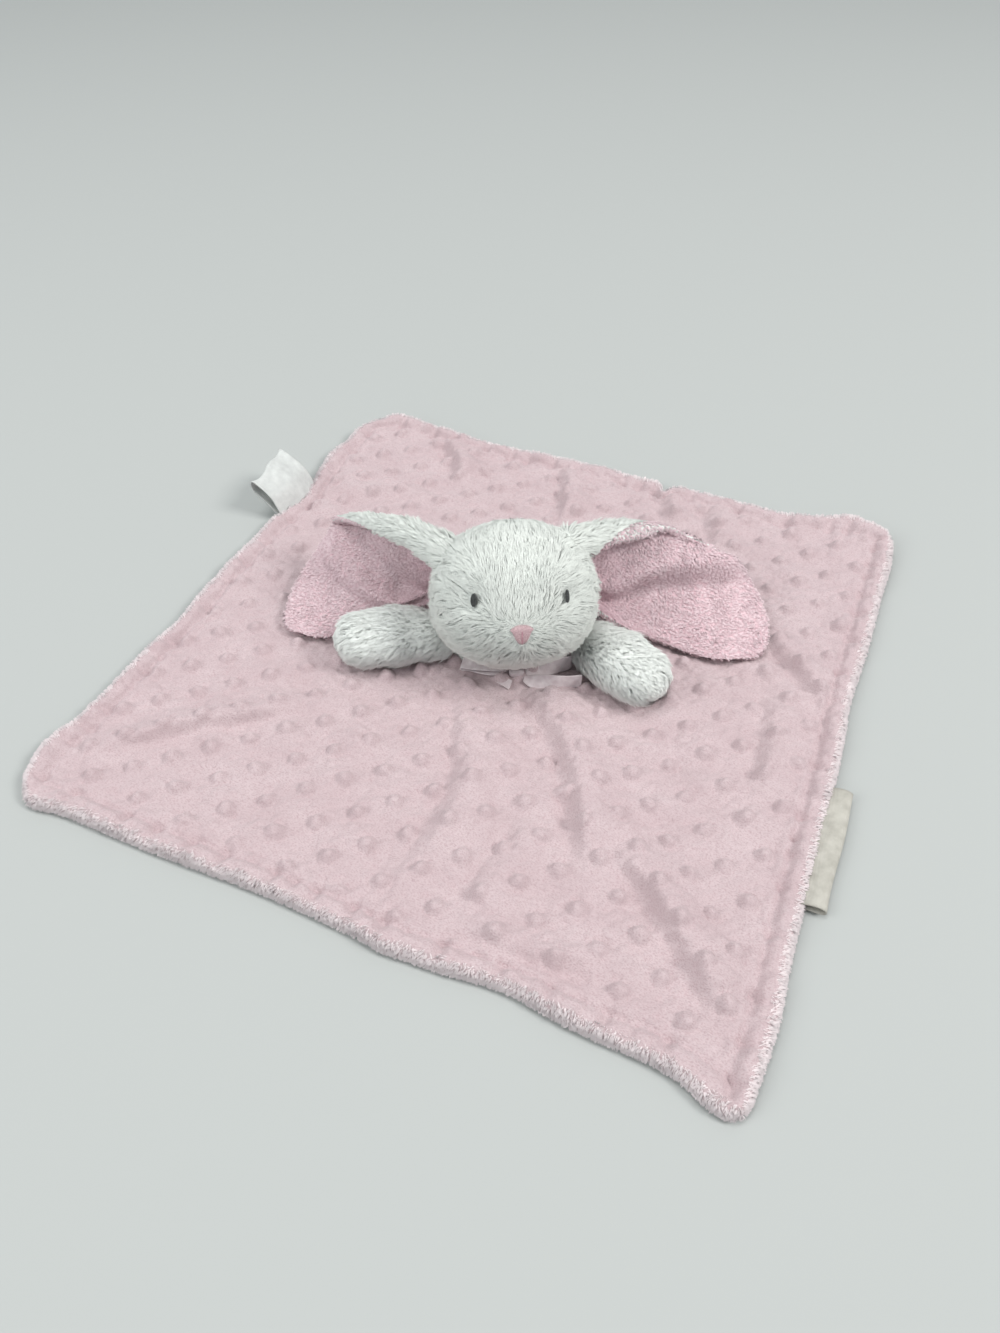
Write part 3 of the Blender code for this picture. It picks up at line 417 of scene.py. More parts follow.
def add_piece(name, points, finish, body, nodes=(), faces=None, normals=None):
    """A mesh that rides on a body, with its finish's material, and stands for nodes of the model."""
    if faces is None:
        faces = [grid_faces(*points.shape[:2])]
    material, slot_name = finishes[finish]
    made = add_object(name, mesh_of(name, points.reshape(-1, 3), faces, normals))
    made.data.materials.append(material)
    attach(made, body)
    if nodes:
        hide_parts(*nodes)
    return made


def grid_faces(rows, columns, closed=False, keep=None):
    """Quads between the rows of a grid of points, with the faces to keep where that is given."""
    reach = columns if closed else columns - 1
    r, c = np.meshgrid(np.arange(rows - 1), np.arange(reach), indexing="ij")
    following = (c + 1) % columns
    quads = np.stack([r * columns + c, r * columns + following,
                      (r + 1) * columns + following, (r + 1) * columns + c], axis=-1)
    if keep is not None:
        return quads[keep]
    return quads.reshape(-1, 4)


def unit(vectors):
    """Vectors at length 1."""
    length = np.linalg.norm(vectors, axis=-1, keepdims=True)
    return vectors / np.maximum(length, 1e-12)


def facing(normals, outward):
    """Normals, turned over where they look away from their outward directions."""
    return normals * np.sign((normals * outward).sum(1, keepdims=True))


def grid_normals(points):
    """Unit normals of a grid of points."""
    return unit(np.cross(np.gradient(points, axis=1), np.gradient(points, axis=0)))


def track(stations, t):
    """Points at shares t of a smooth curve through evenly spaced stations."""
    stations = np.asarray(stations, float)
    place = np.asarray(t, float) * (len(stations) - 1)
    i = np.clip(place.astype(int), 0, len(stations) - 2)
    local = (place - i)[..., None]
    p0, p1 = stations[np.maximum(i - 1, 0)], stations[i]
    p2, p3 = stations[i + 1], stations[np.minimum(i + 2, len(stations) - 1)]
    slope, bend, twist = p2 - p0, 2 * p0 - 5 * p1 + 4 * p2 - p3, 3 * (p1 - p2) + p3 - p0
    return p1 + local * (slope + local * (bend + local * twist)) / 2


def smooth_step(low, high, value):
    """0 below low, 1 above high, and a smooth rise between."""
    share = np.clip((value - low) / (high - low), 0, 1)
    return share * share * (3 - 2 * share)


def make_waves(count, short, long, seed):
    """Directions and phases of waves that add up to a gentle unevenness."""
    dice = np.random.default_rng(seed)
    lengths = dice.uniform(short, long, count)
    angles = dice.uniform(0, math.tau, count)
    return np.cos(angles) / lengths, np.sin(angles) / lengths, dice.uniform(0, math.tau, count)


def ripple(x, y, waves):
    """Unevenness from -1 to 1 or so at places in plan."""
    total = 0.0
    for wave_x, wave_y, phase in zip(*waves):
        total = total + np.sin(math.tau * (x * wave_x + y * wave_y) + phase)
    return total / math.sqrt(len(waves[0]))


# Materials

class Finish:
    """A Principled material and the ways to add nodes to it."""

    def __init__(self, name, color, roughness):
        self.material = bpy.data.materials.new(name)
        self.material.use_nodes = True
        self.material.diffuse_color = (*color, 1.0)
        self.tree = self.material.node_tree
        self.shader = self.tree.nodes["Principled BSDF"]
        self.give(self.shader, {"Base Color": (*color, 1.0), "Roughness": roughness})

    def give(self, node, inputs):
        """Set a node's inputs: an output is linked, anything else is a value."""
        for name, value in inputs.items():
            if isinstance(value, bpy.types.NodeSocket):
                self.tree.links.new(value, node.inputs[name])
            else:
                node.inputs[name].default_value = value
        return node

    def add(self, kind, inputs):
        """A new node with its inputs set."""
        return self.give(self.tree.nodes.new(kind), inputs)

    def noise(self, scale, detail=3.0, stretch=(1, 1, 1)):
        """Noise in the object's own coordinates, from 0 to 1."""
        place = self.add("ShaderNodeTexCoord", {}).outputs["Object"]
        turn = self.add("ShaderNodeMapping", {"Vector": place, "Scale": stretch}).outputs["Vector"]
        inputs = {"Vector": turn, "Scale": scale, "Detail": detail}
        return self.add("ShaderNodeTexNoise", inputs).outputs["Fac"]

    def blend(self, share, first, second):
        """A colour between two, which are colours or outputs."""
        mix = self.tree.nodes.new("ShaderNodeMix")
        mix.data_type = "RGBA"
        ends = [(*value, 1.0) if isinstance(value, tuple) else value for value in (first, second)]
        return self.give(mix, {"Factor": share, "A": ends[0], "B": ends[1]}).outputs["Result"]

    def spread(self, share, low, high):
        """An output stretched from the range low to high onto 0 to 1."""
        inputs = {"Value": share, "From Min": low, "From Max": high}
        return self.add("ShaderNodeMapRange", inputs).outputs["Result"]

    def bump(self, height, distance, strength):
        """Fine relief, on top of any that the shader has already."""
        bump = self.add("ShaderNodeBump", {"Height": height, "Distance": distance, "Strength": strength})
        normal = self.shader.inputs["Normal"]
        if normal.is_linked:
            self.give(bump, {"Normal": normal.links[0].from_socket})
        self.give(self.shader, {"Normal": bump.outputs["Normal"]})


def pile_cloth(name, dark, light, sheen_color, pile_scale, brushed_scale, sheen=0.35):
    """Short-pile cloth: fine fibre relief, brushed patches and a soft sheen."""
    cloth = Finish(name, light, 0.92)
    fine = cloth.noise(pile_scale, 3.0, (0.7, 1.2, 1))
    brushed = cloth.noise(brushed_scale, 4.0, (1, 1.6, 1))
    middle = tuple((d + 2 * n) / 3 for d, n in zip(dark, light))
    patches = cloth.blend(cloth.spread(brushed, 0.35, 0.65), middle, light)
    color = cloth.blend(cloth.spread(fine, 0.3, 0.55), dark, patches)
    cloth.give(cloth.shader, {"Base Color": color, "Sheen Weight": sheen, "Sheen Roughness": 0.45,
                              "Sheen Tint": (*sheen_color, 1.0), "Specular IOR Level": 0.2})
    cloth.bump(fine, pile_relief, 0.8)
    cloth.bump(cloth.noise(pile_scale / 4), pile_tuft_relief, 0.5)
    return cloth.material


def strand_cloth(name, root, tip):
    """Fur or pile strands, with painted shade that darkens them towards the root, and a tone of their own.
    """
    strand = Finish(name, tip, 0.7)
    shade_and_tone = strand.add("ShaderNodeAttribute", {})
    shade_and_tone.attribute_name = "shade_and_tone"
    dull = tuple(0.94 * v for v in tip)
    ends = strand.blend(strand.spread(strand.noise(160, 2.0), 0.35, 0.65), dull, tip)
    # Painted shade: the root colour, darker than the tip's, stands for the shade deep in the pile.
    color = strand.blend(shade_and_tone.outputs["Fac"], root, ends)
    strand.give(strand.shader, {"Base Color": color, "Specular IOR Level": 0.25})
    return strand.material


def woven_cloth(name, dark, light, thread_scale, roughness, sheen=0.0):
    """Woven ribbon or label: fine crossed threads and an uneven weave."""
    weave = Finish(name, light, roughness)
    place = weave.add("ShaderNodeTexCoord", {}).outputs["Object"]
    heights = []
    for direction in ("X", "Z"):
        wave = weave.add("ShaderNodeTexWave", {"Vector": place, "Scale": thread_scale, "Distortion": 0.6})
        wave.bands_direction = direction
        heights.append(wave.outputs["Fac"])
    patches = weave.blend(weave.spread(weave.noise(220), 0.3, 0.7), dark, light)
    color = weave.blend(weave.spread(heights[0], -1.5, 1.0), dark, patches)
    weave.give(weave.shader, {"Base Color": color, "Sheen Weight": sheen, "Specular IOR Level": 0.4})
    for height in heights:
        weave.bump(height, weave_relief, 0.5)
    return weave.material


def thread_cloth(name, dark, light, roughness=0.5):
    """Twisted sewing thread."""
    thread = Finish(name, light, roughness)
    twist = thread.noise(1500, 2.0)
    color = thread.blend(thread.spread(twist, 0.3, 0.6), dark, light)
    thread.give(thread.shader, {"Base Color": color, "Sheen Weight": 0.15})
    thread.bump(twist, thread_relief, 0.6)
    return thread.material


# Each finish and its slot name
finishes = {
    "front": (pile_cloth("pink_dot_plush", (0.475, 0.352, 0.37), (0.604, 0.494, 0.509),
                         (1.0, 0.92, 0.93), 1500, 38), "front_plush"),
    "backing": (pile_cloth("pale_pink_plush", (0.56, 0.43, 0.46), (0.72, 0.61, 0.63),
                           (1.0, 0.94, 0.95), 900, 60), "backing_plush"),
    # Strand finishes give a root colour and a tip colour; the darker root colour is painted shade deep in
    # the fur or pile.
    "rim_fuzz": (strand_cloth("rim_fuzz", (0.81, 0.71, 0.725), (0.87, 0.785, 0.797)), "backing_plush"),
    "skin": (pile_cloth("white_knit", (0.74, 0.78, 0.74), (0.86, 0.9, 0.86), (1.0, 1.0, 1.0),
                        1200, 90, 0.2), "white_plush"),
    "fur": (strand_cloth("white_fur", (0.785, 0.82, 0.78), (0.83, 0.87, 0.822)), "white_plush"),
    "arm_fur": (strand_cloth("white_arm_fur", (0.91, 0.95, 0.91), (0.95, 0.985, 0.945)), "white_plush"),
    "velour": (pile_cloth("pink_velour", (0.56, 0.35, 0.395), (0.8, 0.605, 0.64), (1.0, 0.88, 0.91),
                          1300, 55), "ear_velour"),
    "velour_pile": (strand_cloth("pink_velour_pile", (0.6, 0.385, 0.435), (0.93, 0.755, 0.792)),
                    "ear_velour"),
    "satin": (woven_cloth("pink_satin", (0.66, 0.56, 0.58), (0.88, 0.81, 0.82), 900, 0.35, 0.3),
              "ribbon_satin"),
    "thread": (thread_cloth("pink_thread", (0.46, 0.34, 0.36), (0.58, 0.46, 0.48)), "edge_thread"),
    "eye": (thread_cloth("charcoal_thread", (0.01, 0.012, 0.012), (0.045, 0.05, 0.05), 0.4), "eye_thread"),
    "nose": (thread_cloth("rose_thread", (0.43, 0.275, 0.3), (0.63, 0.46, 0.48), 0.45), "nose_thread"),
    "nose_line": (thread_cloth("dark_rose_thread", (0.34, 0.16, 0.2), (0.5, 0.28, 0.32), 0.45),
                  "nose_thread"),
    "care": (woven_cloth("white_label_satin", (0.6, 0.62, 0.605), (0.75, 0.775, 0.755), 1100, 0.4, 0.2),
             "label_satin"),
    "name": (woven_cloth("cream_label_weave", (0.41, 0.395, 0.35), (0.56, 0.545, 0.49), 800, 0.75),
             "label_weave"),
}


# Blanket

def side_bend(bends, along):
    """How far a side of the blanket runs outward of its straight line."""
    return sum(out * blanket_width * bell(along - place * blanket_width, width * blanket_width)
               for place, out, width in bends)


def round_corners(a, b):
    """Shares across the blanket, with its four corners drawn in to arcs."""
    front = np.where(a > 0, corner_radii["front_right"], corner_radii["front_left"])
    back = np.where(a > 0, corner_radii["back_right"], corner_radii["back_left"])
    flat = 1 - np.where(b > 0, back, front) / (blanket_width / 2)
    over_a, over_b = np.abs(a) - flat, np.abs(b) - flat
    both = (over_a > 0) & (over_b > 0)
    shrink = np.where(both, np.maximum(over_a, over_b) / np.maximum(np.hypot(over_a, over_b), 1e-9), 1.0)
    new_a = np.where(both, flat + over_a * shrink, np.abs(a))
    new_b = np.where(both, flat + over_b * shrink, np.abs(b))
    return np.copysign(new_a, a), np.copysign(new_b, b)


def cloth_plan(a, b):
    """Plan places for the blanket shares a and b, which run from -1 to 1."""
    half = blanket_width / 2
    round_a, round_b = round_corners(a, b)
    x, y = round_a * half, round_b * half
    side = np.where(a > 0, side_bend(right_bend_shares, y), side_bend(left_bend_shares, y))
    end = np.where(b > 0, side_bend(back_bend_shares, x), side_bend(front_bend_shares, x))
    pull = corner_pull * (np.abs(a) * np.abs(b)) ** 14
    x = x + (side * np.abs(a) ** edge_reach_power - pull) * np.sign(a)
    y = y + (end * np.abs(b) ** edge_reach_power - pull) * np.sign(b)
    return x + blanket_shift_x, y + blanket_shift_y


def fold_lift(x, y, shares, height, steep, gentle):
    """Lift of one fold, steep on the right of its line and gentle on the left, and its foot's crease."""
    line = track(np.array(shares) * blanket_width, np.linspace(0, 1, 20))
    travel = np.linalg.norm(np.diff(line, axis=0), axis=1)
    run = np.concatenate([[0], np.cumsum(travel)])
    nearest, signed, along = np.full(x.shape, 1e9), np.zeros(x.shape), np.zeros(x.shape)
    for i, (start, end) in enumerate(zip(line, line[1:])):
        way = (end - start) / travel[i]
        far = np.clip((x - start[0]) * way[0] + (y - start[1]) * way[1], 0, travel[i])
        off_x, off_y = x - start[0] - far * way[0], y - start[1] - far * way[1]
        distance = np.hypot(off_x, off_y)
        closer = distance < nearest
        side = np.sign(way[0] * off_y - way[1] * off_x)
        signed = np.where(closer, distance * np.where(side == 0, 1, side), signed)
        along = np.where(closer, (run[i] + far) / run[-1], along)
        nearest = np.minimum(nearest, distance)
    past = signed - steep * blanket_width
    width = np.where(past < 0, steep, gentle) * blanket_width
    ends = smooth_step(0, 0.25, along) * smooth_step(0, 0.25, 1 - along)
    foot = bell(past + crease_place_share * steep * blanket_width, crease_width)
    fade = fold_end_share + (1 - fold_end_share) * ends
    return height * blanket_width * bell(past, width) * fade, foot * ends


def cloth_lift(x, y):
    """How high the folds and the turned-up corners lift the cloth, and its creases from 0 to 1."""
    lift, crease = np.zeros(np.shape(x)), np.zeros(np.shape(x))
    for shares, height, steep, gentle in fold_shares:
        fold, foot = fold_lift(x, y, shares, height, steep, gentle)
        lift, crease = np.maximum(lift, fold), np.maximum(crease, foot)
    for centre, height, width in lifted_corner_shares:
        distance = np.hypot(x - centre[0] * blanket_width, y - centre[1] * blanket_width)
        lift = np.maximum(lift, height * blanket_width * bell(distance, width * blanket_width))
    return lift, crease


def dot_relief(x, y):
    """Height of the raised dots, from the nearest dot of the pattern."""
    past = (x - dot_slip_shares[0] * blanket_width) + (y - dot_slip_shares[1] * blanket_width)
    in_front = smooth_step(*dot_slip_fronts, dot_slip_front_share * blanket_width - y)
    slip = smooth_step(0, 1, past / dot_slip_width) * in_front
    px, py = x - dot_x - dot_slip_x * slip, y - dot_y - dot_slip_y * slip
    area = dot_step_x * dot_row_y - dot_step_y * dot_row_x
    i = (px * dot_row_y - py * dot_row_x) / area
    j = (py * dot_step_x - px * dot_step_y) / area
    nearest = np.full(np.shape(x), 1e9)
    for up_i in (0, 1):
        for up_j in (0, 1):
            whole_i, whole_j = np.floor(i) + up_i, np.floor(j) + up_j
            off_x = px - whole_i * dot_step_x - whole_j * dot_row_x
            off_y = py - whole_i * dot_step_y - whole_j * dot_row_y
            nearest = np.minimum(nearest, np.hypot(off_x, off_y))
    size = dot_radius * (1 + dot_size_change * ripple(x, y, broad_waves))
    dome = np.clip(1 - (nearest / size) ** 2, 0, 1) ** dot_power
    return dot_height * dome - dot_moat * bell(nearest - size * 1.12, dot_moat_width)


def pucker_places():
    """Places along a side where the seam draws the rim together."""
    gaps = rng.uniform(0.5, 1.7, 40) * pucker_spacing
    return np.cumsum(gaps) - blanket_width / 2 - pucker_spacing


side_puckers = {name: pucker_places() for name in ("left", "right", "front", "back")}
broad_waves = make_waves(18, *broad_wave_lengths, 3)
small_waves = make_waves(22, *small_wave_lengths, 5)
fur_waves = make_waves(12, *fur_wave_lengths, 7)


def pucker_relief(a, b, x, y):
    """How deep the seam's puckers are, from 0 to 1."""
    depth = np.zeros(np.shape(x))
    across = np.abs(a) > np.abs(b)
    for name, chosen, along in (("left", across & (a < 0), y), ("right", across & (a > 0), y),
                                ("front", ~across & (b < 0), x), ("back", ~across & (b > 0), x)):
        for place in side_puckers[name]:
            depth = np.where(chosen, np.maximum(depth, bell(along - place, pucker_width)), depth)
    return depth


def rim_inset(a, b):
    """How far inside the blanket's outermost line its shares lie."""
    return (1 - np.maximum(np.abs(a), np.abs(b))) * blanket_width / 2


def cloth_height(a, b, x, y):
    """Height of the front cloth's upper face, with rim, seam, dots and folds."""
    inset = rim_inset(a, b)
    round_off = quarter_round(inset / rim_round)
    to_flat = smooth_step(stitch_inset, stitch_inset + rim_slope, inset)
    level = rim_mid_z + (rim_top_z - rim_mid_z) * round_off - (rim_top_z - cloth_top_z) * to_flat
    groove = bell(inset - stitch_inset, groove_width)
    near_seam = bell(inset - stitch_inset + pucker_outset, pucker_reach)
    pucker = pucker_relief(a, b, x, y) * (near_seam * smooth_step(0, pucker_rim_fade, inset))
    waves = ripple(x, y, broad_waves) + small_ripple_share * ripple(x, y, small_waves)
    uneven = ripple_height * waves * round_off
    on_rim = 1 - dot_rim_loss * (1 - to_flat)
    dots = dot_relief(x, y) * on_rim * (1 - groove) * smooth_step(*dot_rim_fade, inset)
    lift, crease = cloth_lift(x, y)
    sunk = groove_depth * groove + pucker_depth * pucker + crease_depth * crease * to_flat
    return np.maximum(level + dots + uneven - sunk, cloth_thinnest) + lift


def rim_lines(cells):
    """Shares across the blanket, closer together at the rim than inside."""
    rims = 1 - np.array(rim_insets) / (blanket_width / 2)
    inner = np.linspace(-rims[-1], rims[-1], cells)
    return np.concatenate([-rims[:-1], inner, rims[:-1][::-1]])


def backing_height(a, b, x, y):
    """Height of the backing's underside."""
    under = np.maximum(0.0, cloth_lift(x, y)[0] - backing_drop)
    return under + rim_mid_z * (1 - quarter_round(rim_inset(a, b) / rim_mid_z))


def cloth_points(a, b, height):
    """Points of the blanket's upper or lower face at its shares."""
    x, y = cloth_plan(a, b)
    return np.stack([x, y, height(a, b, x, y)], axis=-1)


def make_cloths():
    """The dotted front cloth and the plush backing, which meet at the rim's outermost line."""
    for name, cells, height, order in (("front", front_cells, cloth_height, 1),
                                       ("backing", backing_cells, backing_height, -1)):
        points = cloth_points(*np.meshgrid(rim_lines(cells), rim_lines(cells)), height)
        faces = grid_faces(*points.shape[:2])[:, ::order]
        add_piece(name + "_cloth", points, name, "blanket", ["blanket_" + name], [faces])


def make_topstitch():
    """Single stitches that lie in the rim's groove all the way round."""
    half = blanket_width / 2
    line = 1 - stitch_inset / half
    count = int(2 * line * half / (stitch_length + stitch_gap))
    places = (np.arange(count) + 0.5) / count * 2 * line - line
    reach = stitch_length / 2 / half
    starts, ends = [], []
    for sign in (-1, 1):
        fixed = np.full(count, sign * line)
        starts += [np.stack([places - reach, fixed], 1), np.stack([fixed, places - reach], 1)]
        ends += [np.stack([places + reach, fixed], 1), np.stack([fixed, places + reach], 1)]
    starts, ends = np.concatenate(starts), np.concatenate(ends)
    rows = []
    for share, sink in zip(np.linspace(0, 1, len(stitch_sinks)), stitch_sinks):
        row = cloth_points(*(starts + (ends - starts) * share).T, cloth_height)
        row[:, 2] = row[:, 2] - stitch_bed - sink
        rows.append(row)
    tubes("edge_stitches", np.stack(rows, axis=1), stitch_radius, "thread", "blanket", ["edge_topstitch"])


def tubes(name, lines, radius, finish, body, nodes, sides=6):
    """Many short round threads along lines of points, tapered to their ends."""
    count, stations, _ = lines.shape
    ways = unit(np.gradient(lines, axis=1))
    helper = np.where(np.abs(ways[..., 2:]) > 0.9, [1.0, 0.0, 0.0], [0.0, 0.0, 1.0])
    first = unit(np.cross(ways, helper))
    second = np.cross(ways, first)
    taper = np.ones(stations)
    taper[0] = taper[-1] = 0.45
    turns = np.arange(sides) / sides * math.tau
    ring = (first[:, :, None] * np.cos(turns)[:, None] + second[:, :, None] * np.sin(turns)[:, None])
    points = lines[:, :, None] + ring * (radius * taper)[None, :, None, None]
    base = (np.arange(count) * stations * sides)[:, None, None]
    quads = grid_faces(stations, sides, closed=True)[None] + base
    caps = np.stack([np.arange(sides)[::-1], np.arange(sides) + (stations - 1) * sides])[None] + base
    add_piece(name, points, finish, body, nodes, [quads.reshape(-1, 4), caps.reshape(-1, sides)])


# Strands

def sample_grid(points, density, dice, weight=None):
    """Random places on a grid of points: where, normals and shares along both directions."""
    rows, columns, _ = points.shape
    normals = grid_normals(points)
    corner = [points[:-1, :-1], points[:-1, 1:], points[1:, 1:], points[1:, :-1]]
    area = np.linalg.norm(np.cross(corner[2] - corner[0], corner[3] - corner[1]), axis=-1) / 2
    if weight is not None:
        area = area * weight
    total = area.sum()
    count = int(total * density)
    cell = dice.choice(area.size, count, p=(area / total).ravel())
    r, c = np.unravel_index(cell, area.shape)
    u, v = dice.random(count), dice.random(count)
    weights = ((1 - u) * (1 - v), (1 - u) * v, u * v, u * (1 - v))
    picks = ((r, c), (r, c + 1), (r + 1, c + 1), (r + 1, c))
    where = sum(w[:, None] * points[p] for w, p in zip(weights, picks))
    normal = unit(sum(w[:, None] * normals[p] for w, p in zip(weights, picks)))
    return where, normal, (r + u) / (rows - 1), (c + v) / (columns - 1)


def grow_strands(name, roots, normals, combs, lengths, width, lean, finish, body,
                 clump=0.42, clump_size=18, ruffle=0.16, floor=cloth_seat, painted_shade=0.0, seed=1):
    """Closed tapered strands that lie over along their combs, drawn together in tufts, with painted shade
    towards their roots.
    """
    dice = np.random.default_rng(seed)
    count = len(roots)
    chosen = dice.choice(count, max(1, count // clump_size), replace=False)
    tree = KDTree(len(chosen))
    for i, root in enumerate(roots[chosen]):
        tree.insert(root, i)
    tree.balance()
    tuft = np.array([tree.find(root)[1] for root in roots])
    swing = dice.normal(size=len(chosen))[tuft] * ruffle + dice.normal(size=count) * strand_swing
    dip = dice.normal(size=len(chosen))[tuft] * ruffle * 0.35 + dice.normal(size=count) * strand_dip
    reach = dice.uniform(0.8, 1.15, len(chosen))[tuft] * dice.uniform(0.85, 1.1, count)
    combs = unit(combs - normals * (combs * normals).sum(1, keepdims=True))
    combs = unit(combs + np.cross(normals, combs) * swing[:, None])
    rise = np.clip(lean + dip, 0.05, 1.45)[:, None]
    lengths = (lengths * reach)[:, None]
    middle = roots + lengths * 0.5 * (normals * np.cos(rise * 0.75) + combs * np.sin(rise * 0.75))
    tips = middle + lengths * 0.5 * (normals * np.cos(rise * 1.25) + combs * np.sin(rise * 1.25))
    pull = (tips[chosen][tuft] - tips) * np.reshape(clump, (-1, 1))
    tips = tips + pull
    middle = middle + 0.35 * pull
    tips[:, 2] = np.maximum(tips[:, 2], floor + 2 * strand_clear)
    middle[:, 2] = np.maximum(middle[:, 2], floor + strand_clear)
    way = unit(tips - roots)
    side = unit(np.cross(way, normals) + 1e-6)
    up = np.cross(side, way)
    turns = np.array([0.5, 0.5 - 2 / 3, 0.5 - 4 / 3]) * math.pi
    ring = side[:, None] * np.cos(turns)[:, None] + up[:, None] * np.sin(turns)[:, None] * 0.55
    widths = (width * dice.uniform(0.7, 1.3, count))[:, None, None]
    sunk = roots - normals * width
    points = np.concatenate([sunk[:, None] + ring * widths, middle[:, None] + ring * widths * 0.85,
                             tips[:, None]], axis=1)
    points[..., 2] = np.maximum(points[..., 2], strand_clear)
    base = (np.arange(count) * points.shape[1])[:, None]
    quads = np.array([[0, 1, 4, 3], [1, 2, 5, 4], [2, 0, 3, 5]])
    thirds = np.array([[3, 4, 6], [4, 5, 6], [5, 3, 6], [2, 1, 0]])
    faces = [(quads[None] + base[:, None]).reshape(-1, 4), (thirds[None] + base[:, None]).reshape(-1, 3)]
    round_way = np.concatenate([ring, ring, way[:, None]], axis=1)
    shading = unit(normals[:, None] * strand_softness + unit(round_way) * (1 - strand_softness))
    # Painted shade: each strand runs from dark at the root to light at the tip, each with a random tone of
    # its own, less any painted shade given.
    shade_and_tone = [0.25, 0.25, 0.25, 0.75, 0.75, 0.75, 1.0] + dice.normal(scale=0.1, size=(count, 1))
    shade_and_tone = np.clip(shade_and_tone - np.reshape(painted_shade, (-1, 1)), 0, 1)
    strands = add_piece(name, points, finish, body, faces=faces, normals=shading.reshape(-1, 3))
    layer = strands.data.attributes.new("shade_and_tone", "FLOAT", "POINT")
    layer.data.foreach_set("value", shade_and_tone.astype(np.float32).ravel())


def make_rim_fuzz():
    """The backing's longer pile that shows all round the blanket's edge."""
    inset_lines = 1 - np.linspace(0.0, rim_fuzz_reach, 10) / (blanket_width / 2)
    fade = np.clip(np.linspace(1.2, 0.1, 9), 0, 1)[None, :]
    for number, (name, sign, turned) in enumerate((("front", -1, False), ("back", 1, False),
                                                   ("left", -1, True), ("right", 1, True))):
        dice = np.random.default_rng(50 + number)
        fixed, running = np.meshgrid(sign * inset_lines, np.linspace(-1, 1, 400))
        a, b = (fixed, running * np.abs(fixed)) if turned else (running * np.abs(fixed), fixed)
        outward = np.array([sign, 0, 0.0]) if turned else np.array([0, sign, 0.0])
        fuzz = []
        for height, cover in ((cloth_height, 1.0), (backing_height, 0.7)):
            points = cloth_points(a, b, height)
            roots, normals, _, _ = sample_grid(points, rim_fuzz_density, dice, fade * cover)
            if height is backing_height:
                normals = np.broadcast_to(unit(outward + 0.7 * upward), normals.shape)
            fuzz.append((roots, facing(normals, upward)))
        roots, normals = (np.concatenate(parts) for parts in zip(*fuzz))
        grow_strands("rim_fuzz_" + name, roots, normals, outward, rim_fuzz_length, rim_fuzz_width, 0.75,
                     "rim_fuzz", "blanket", clump=0.25, clump_size=6, ruffle=0.5, floor=rim_fuzz_floor,
                     seed=61 + number)


# Bunny's places, and its directions in plan: ahead where it looks, aside to the right as one faces it

ahead = np.array([math.sin(head_yaw), -math.cos(head_yaw), 0.0])
aside = np.array([math.cos(head_yaw), math.sin(head_yaw), 0.0])
head_centre = np.array([head_x, head_y, head_z])
head_turn = np.array(Matrix.Rotation(head_yaw, 3, "Z") @ Matrix.Rotation(-head_pitch, 3, "X"))
neck_plan = head_centre[:2] + ahead[:2] * neck_forward
knot_forward = neck_forward + neck_stem_radius + band_gap + band_thickness + knot_gap + knot_depth / 2
knot_centre = head_centre * (1, 1, 0) + ahead * knot_forward + upward * (cloth_seat + knot_height / 2)


def to_world(local):
    """From the head's own frame, X aside, Y to the nape and Z to the crown, to the world."""
    return local @ head_turn.T + head_centre


def to_head(world):
    """From the world to the head's own frame."""
    return (world - head_centre) @ head_turn


def head_reach(direction):
    """Distance from the head's middle to its skin along unit directions."""
    narrow = 1 - chin_taper_share * np.maximum(0.0, -direction[..., 2]) ** 2
    total = (np.abs(direction[..., 0]) / (head_half_width * narrow)) ** head_roundness
    total = total + (np.abs(direction[..., 1]) / head_half_depth) ** head_roundness
    total = total + (np.abs(direction[..., 2]) / head_half_height) ** head_roundness
    return total ** (-1 / head_roundness)


def on_face(side, height):
    """The point of the head's front at a side and a height of its own frame."""
    low, high = 0.0, head_half_depth * 2
    for _ in range(40):
        middle = (low + high) / 2
        probe = np.array([side, -middle, height])
        if np.linalg.norm(probe) > head_reach(unit(probe)):
            high = middle
        else:
            low = middle
    return np.array([side, -low, height])


nose_place = on_face(0.0, -nose_drop)
eye_places = {"left": on_face(-eye_side + left_eye_shift, eye_height + left_eye_rise),
              "right": on_face(eye_side, eye_height)}


def face_relief(points):
    """How far the face stands out of the plain head: muzzle, cheeks and eye dents."""
    muzzle = nose_place + np.array([0, 0, -muzzle_drop])
    rise = muzzle_rise * bell(np.linalg.norm(points - muzzle, axis=-1), muzzle_radius)
    for place in eye_places.values():
        rise = rise - eye_dent * bell(np.linalg.norm(points - place, axis=-1), eye_dent_radius)
    return rise


def head_surface(sides, rounds, inset=skin_inset):
    """A grid of points on the head between two pairs of angles."""
    side, turn = np.meshgrid(sides, rounds)
    direction = np.stack([np.sin(side), -np.cos(side) * np.cos(turn), np.cos(side) * np.sin(turn)], axis=-1)
    plain = direction * head_reach(direction)[..., None]
    return plain + direction * (face_relief(plain) - inset)[..., None]


def head_room(world):
    """How far points lie outside the head's skin."""
    local = to_head(world)
    return np.linalg.norm(local, axis=-1) - head_reach(unit(local))


def cells_outside_head(points):
    """Which cells of a grid of points show outside the head's skin."""
    out = head_room(points) > -skin_overlap
    return out[:-1, :-1] | out[1:, 1:]


def forehead_share(local):
    """How far each place belongs to the smooth fur of the forehead and the crown."""
    width = forehead_half_width + 0.25 * np.maximum(0, local[:, 2])
    within = smooth_step(1.25, 0.75, np.abs(local[:, 0]) / width)
    return within * smooth_step(*(rise - nose_drop for rise in forehead_over_nose), local[:, 2])


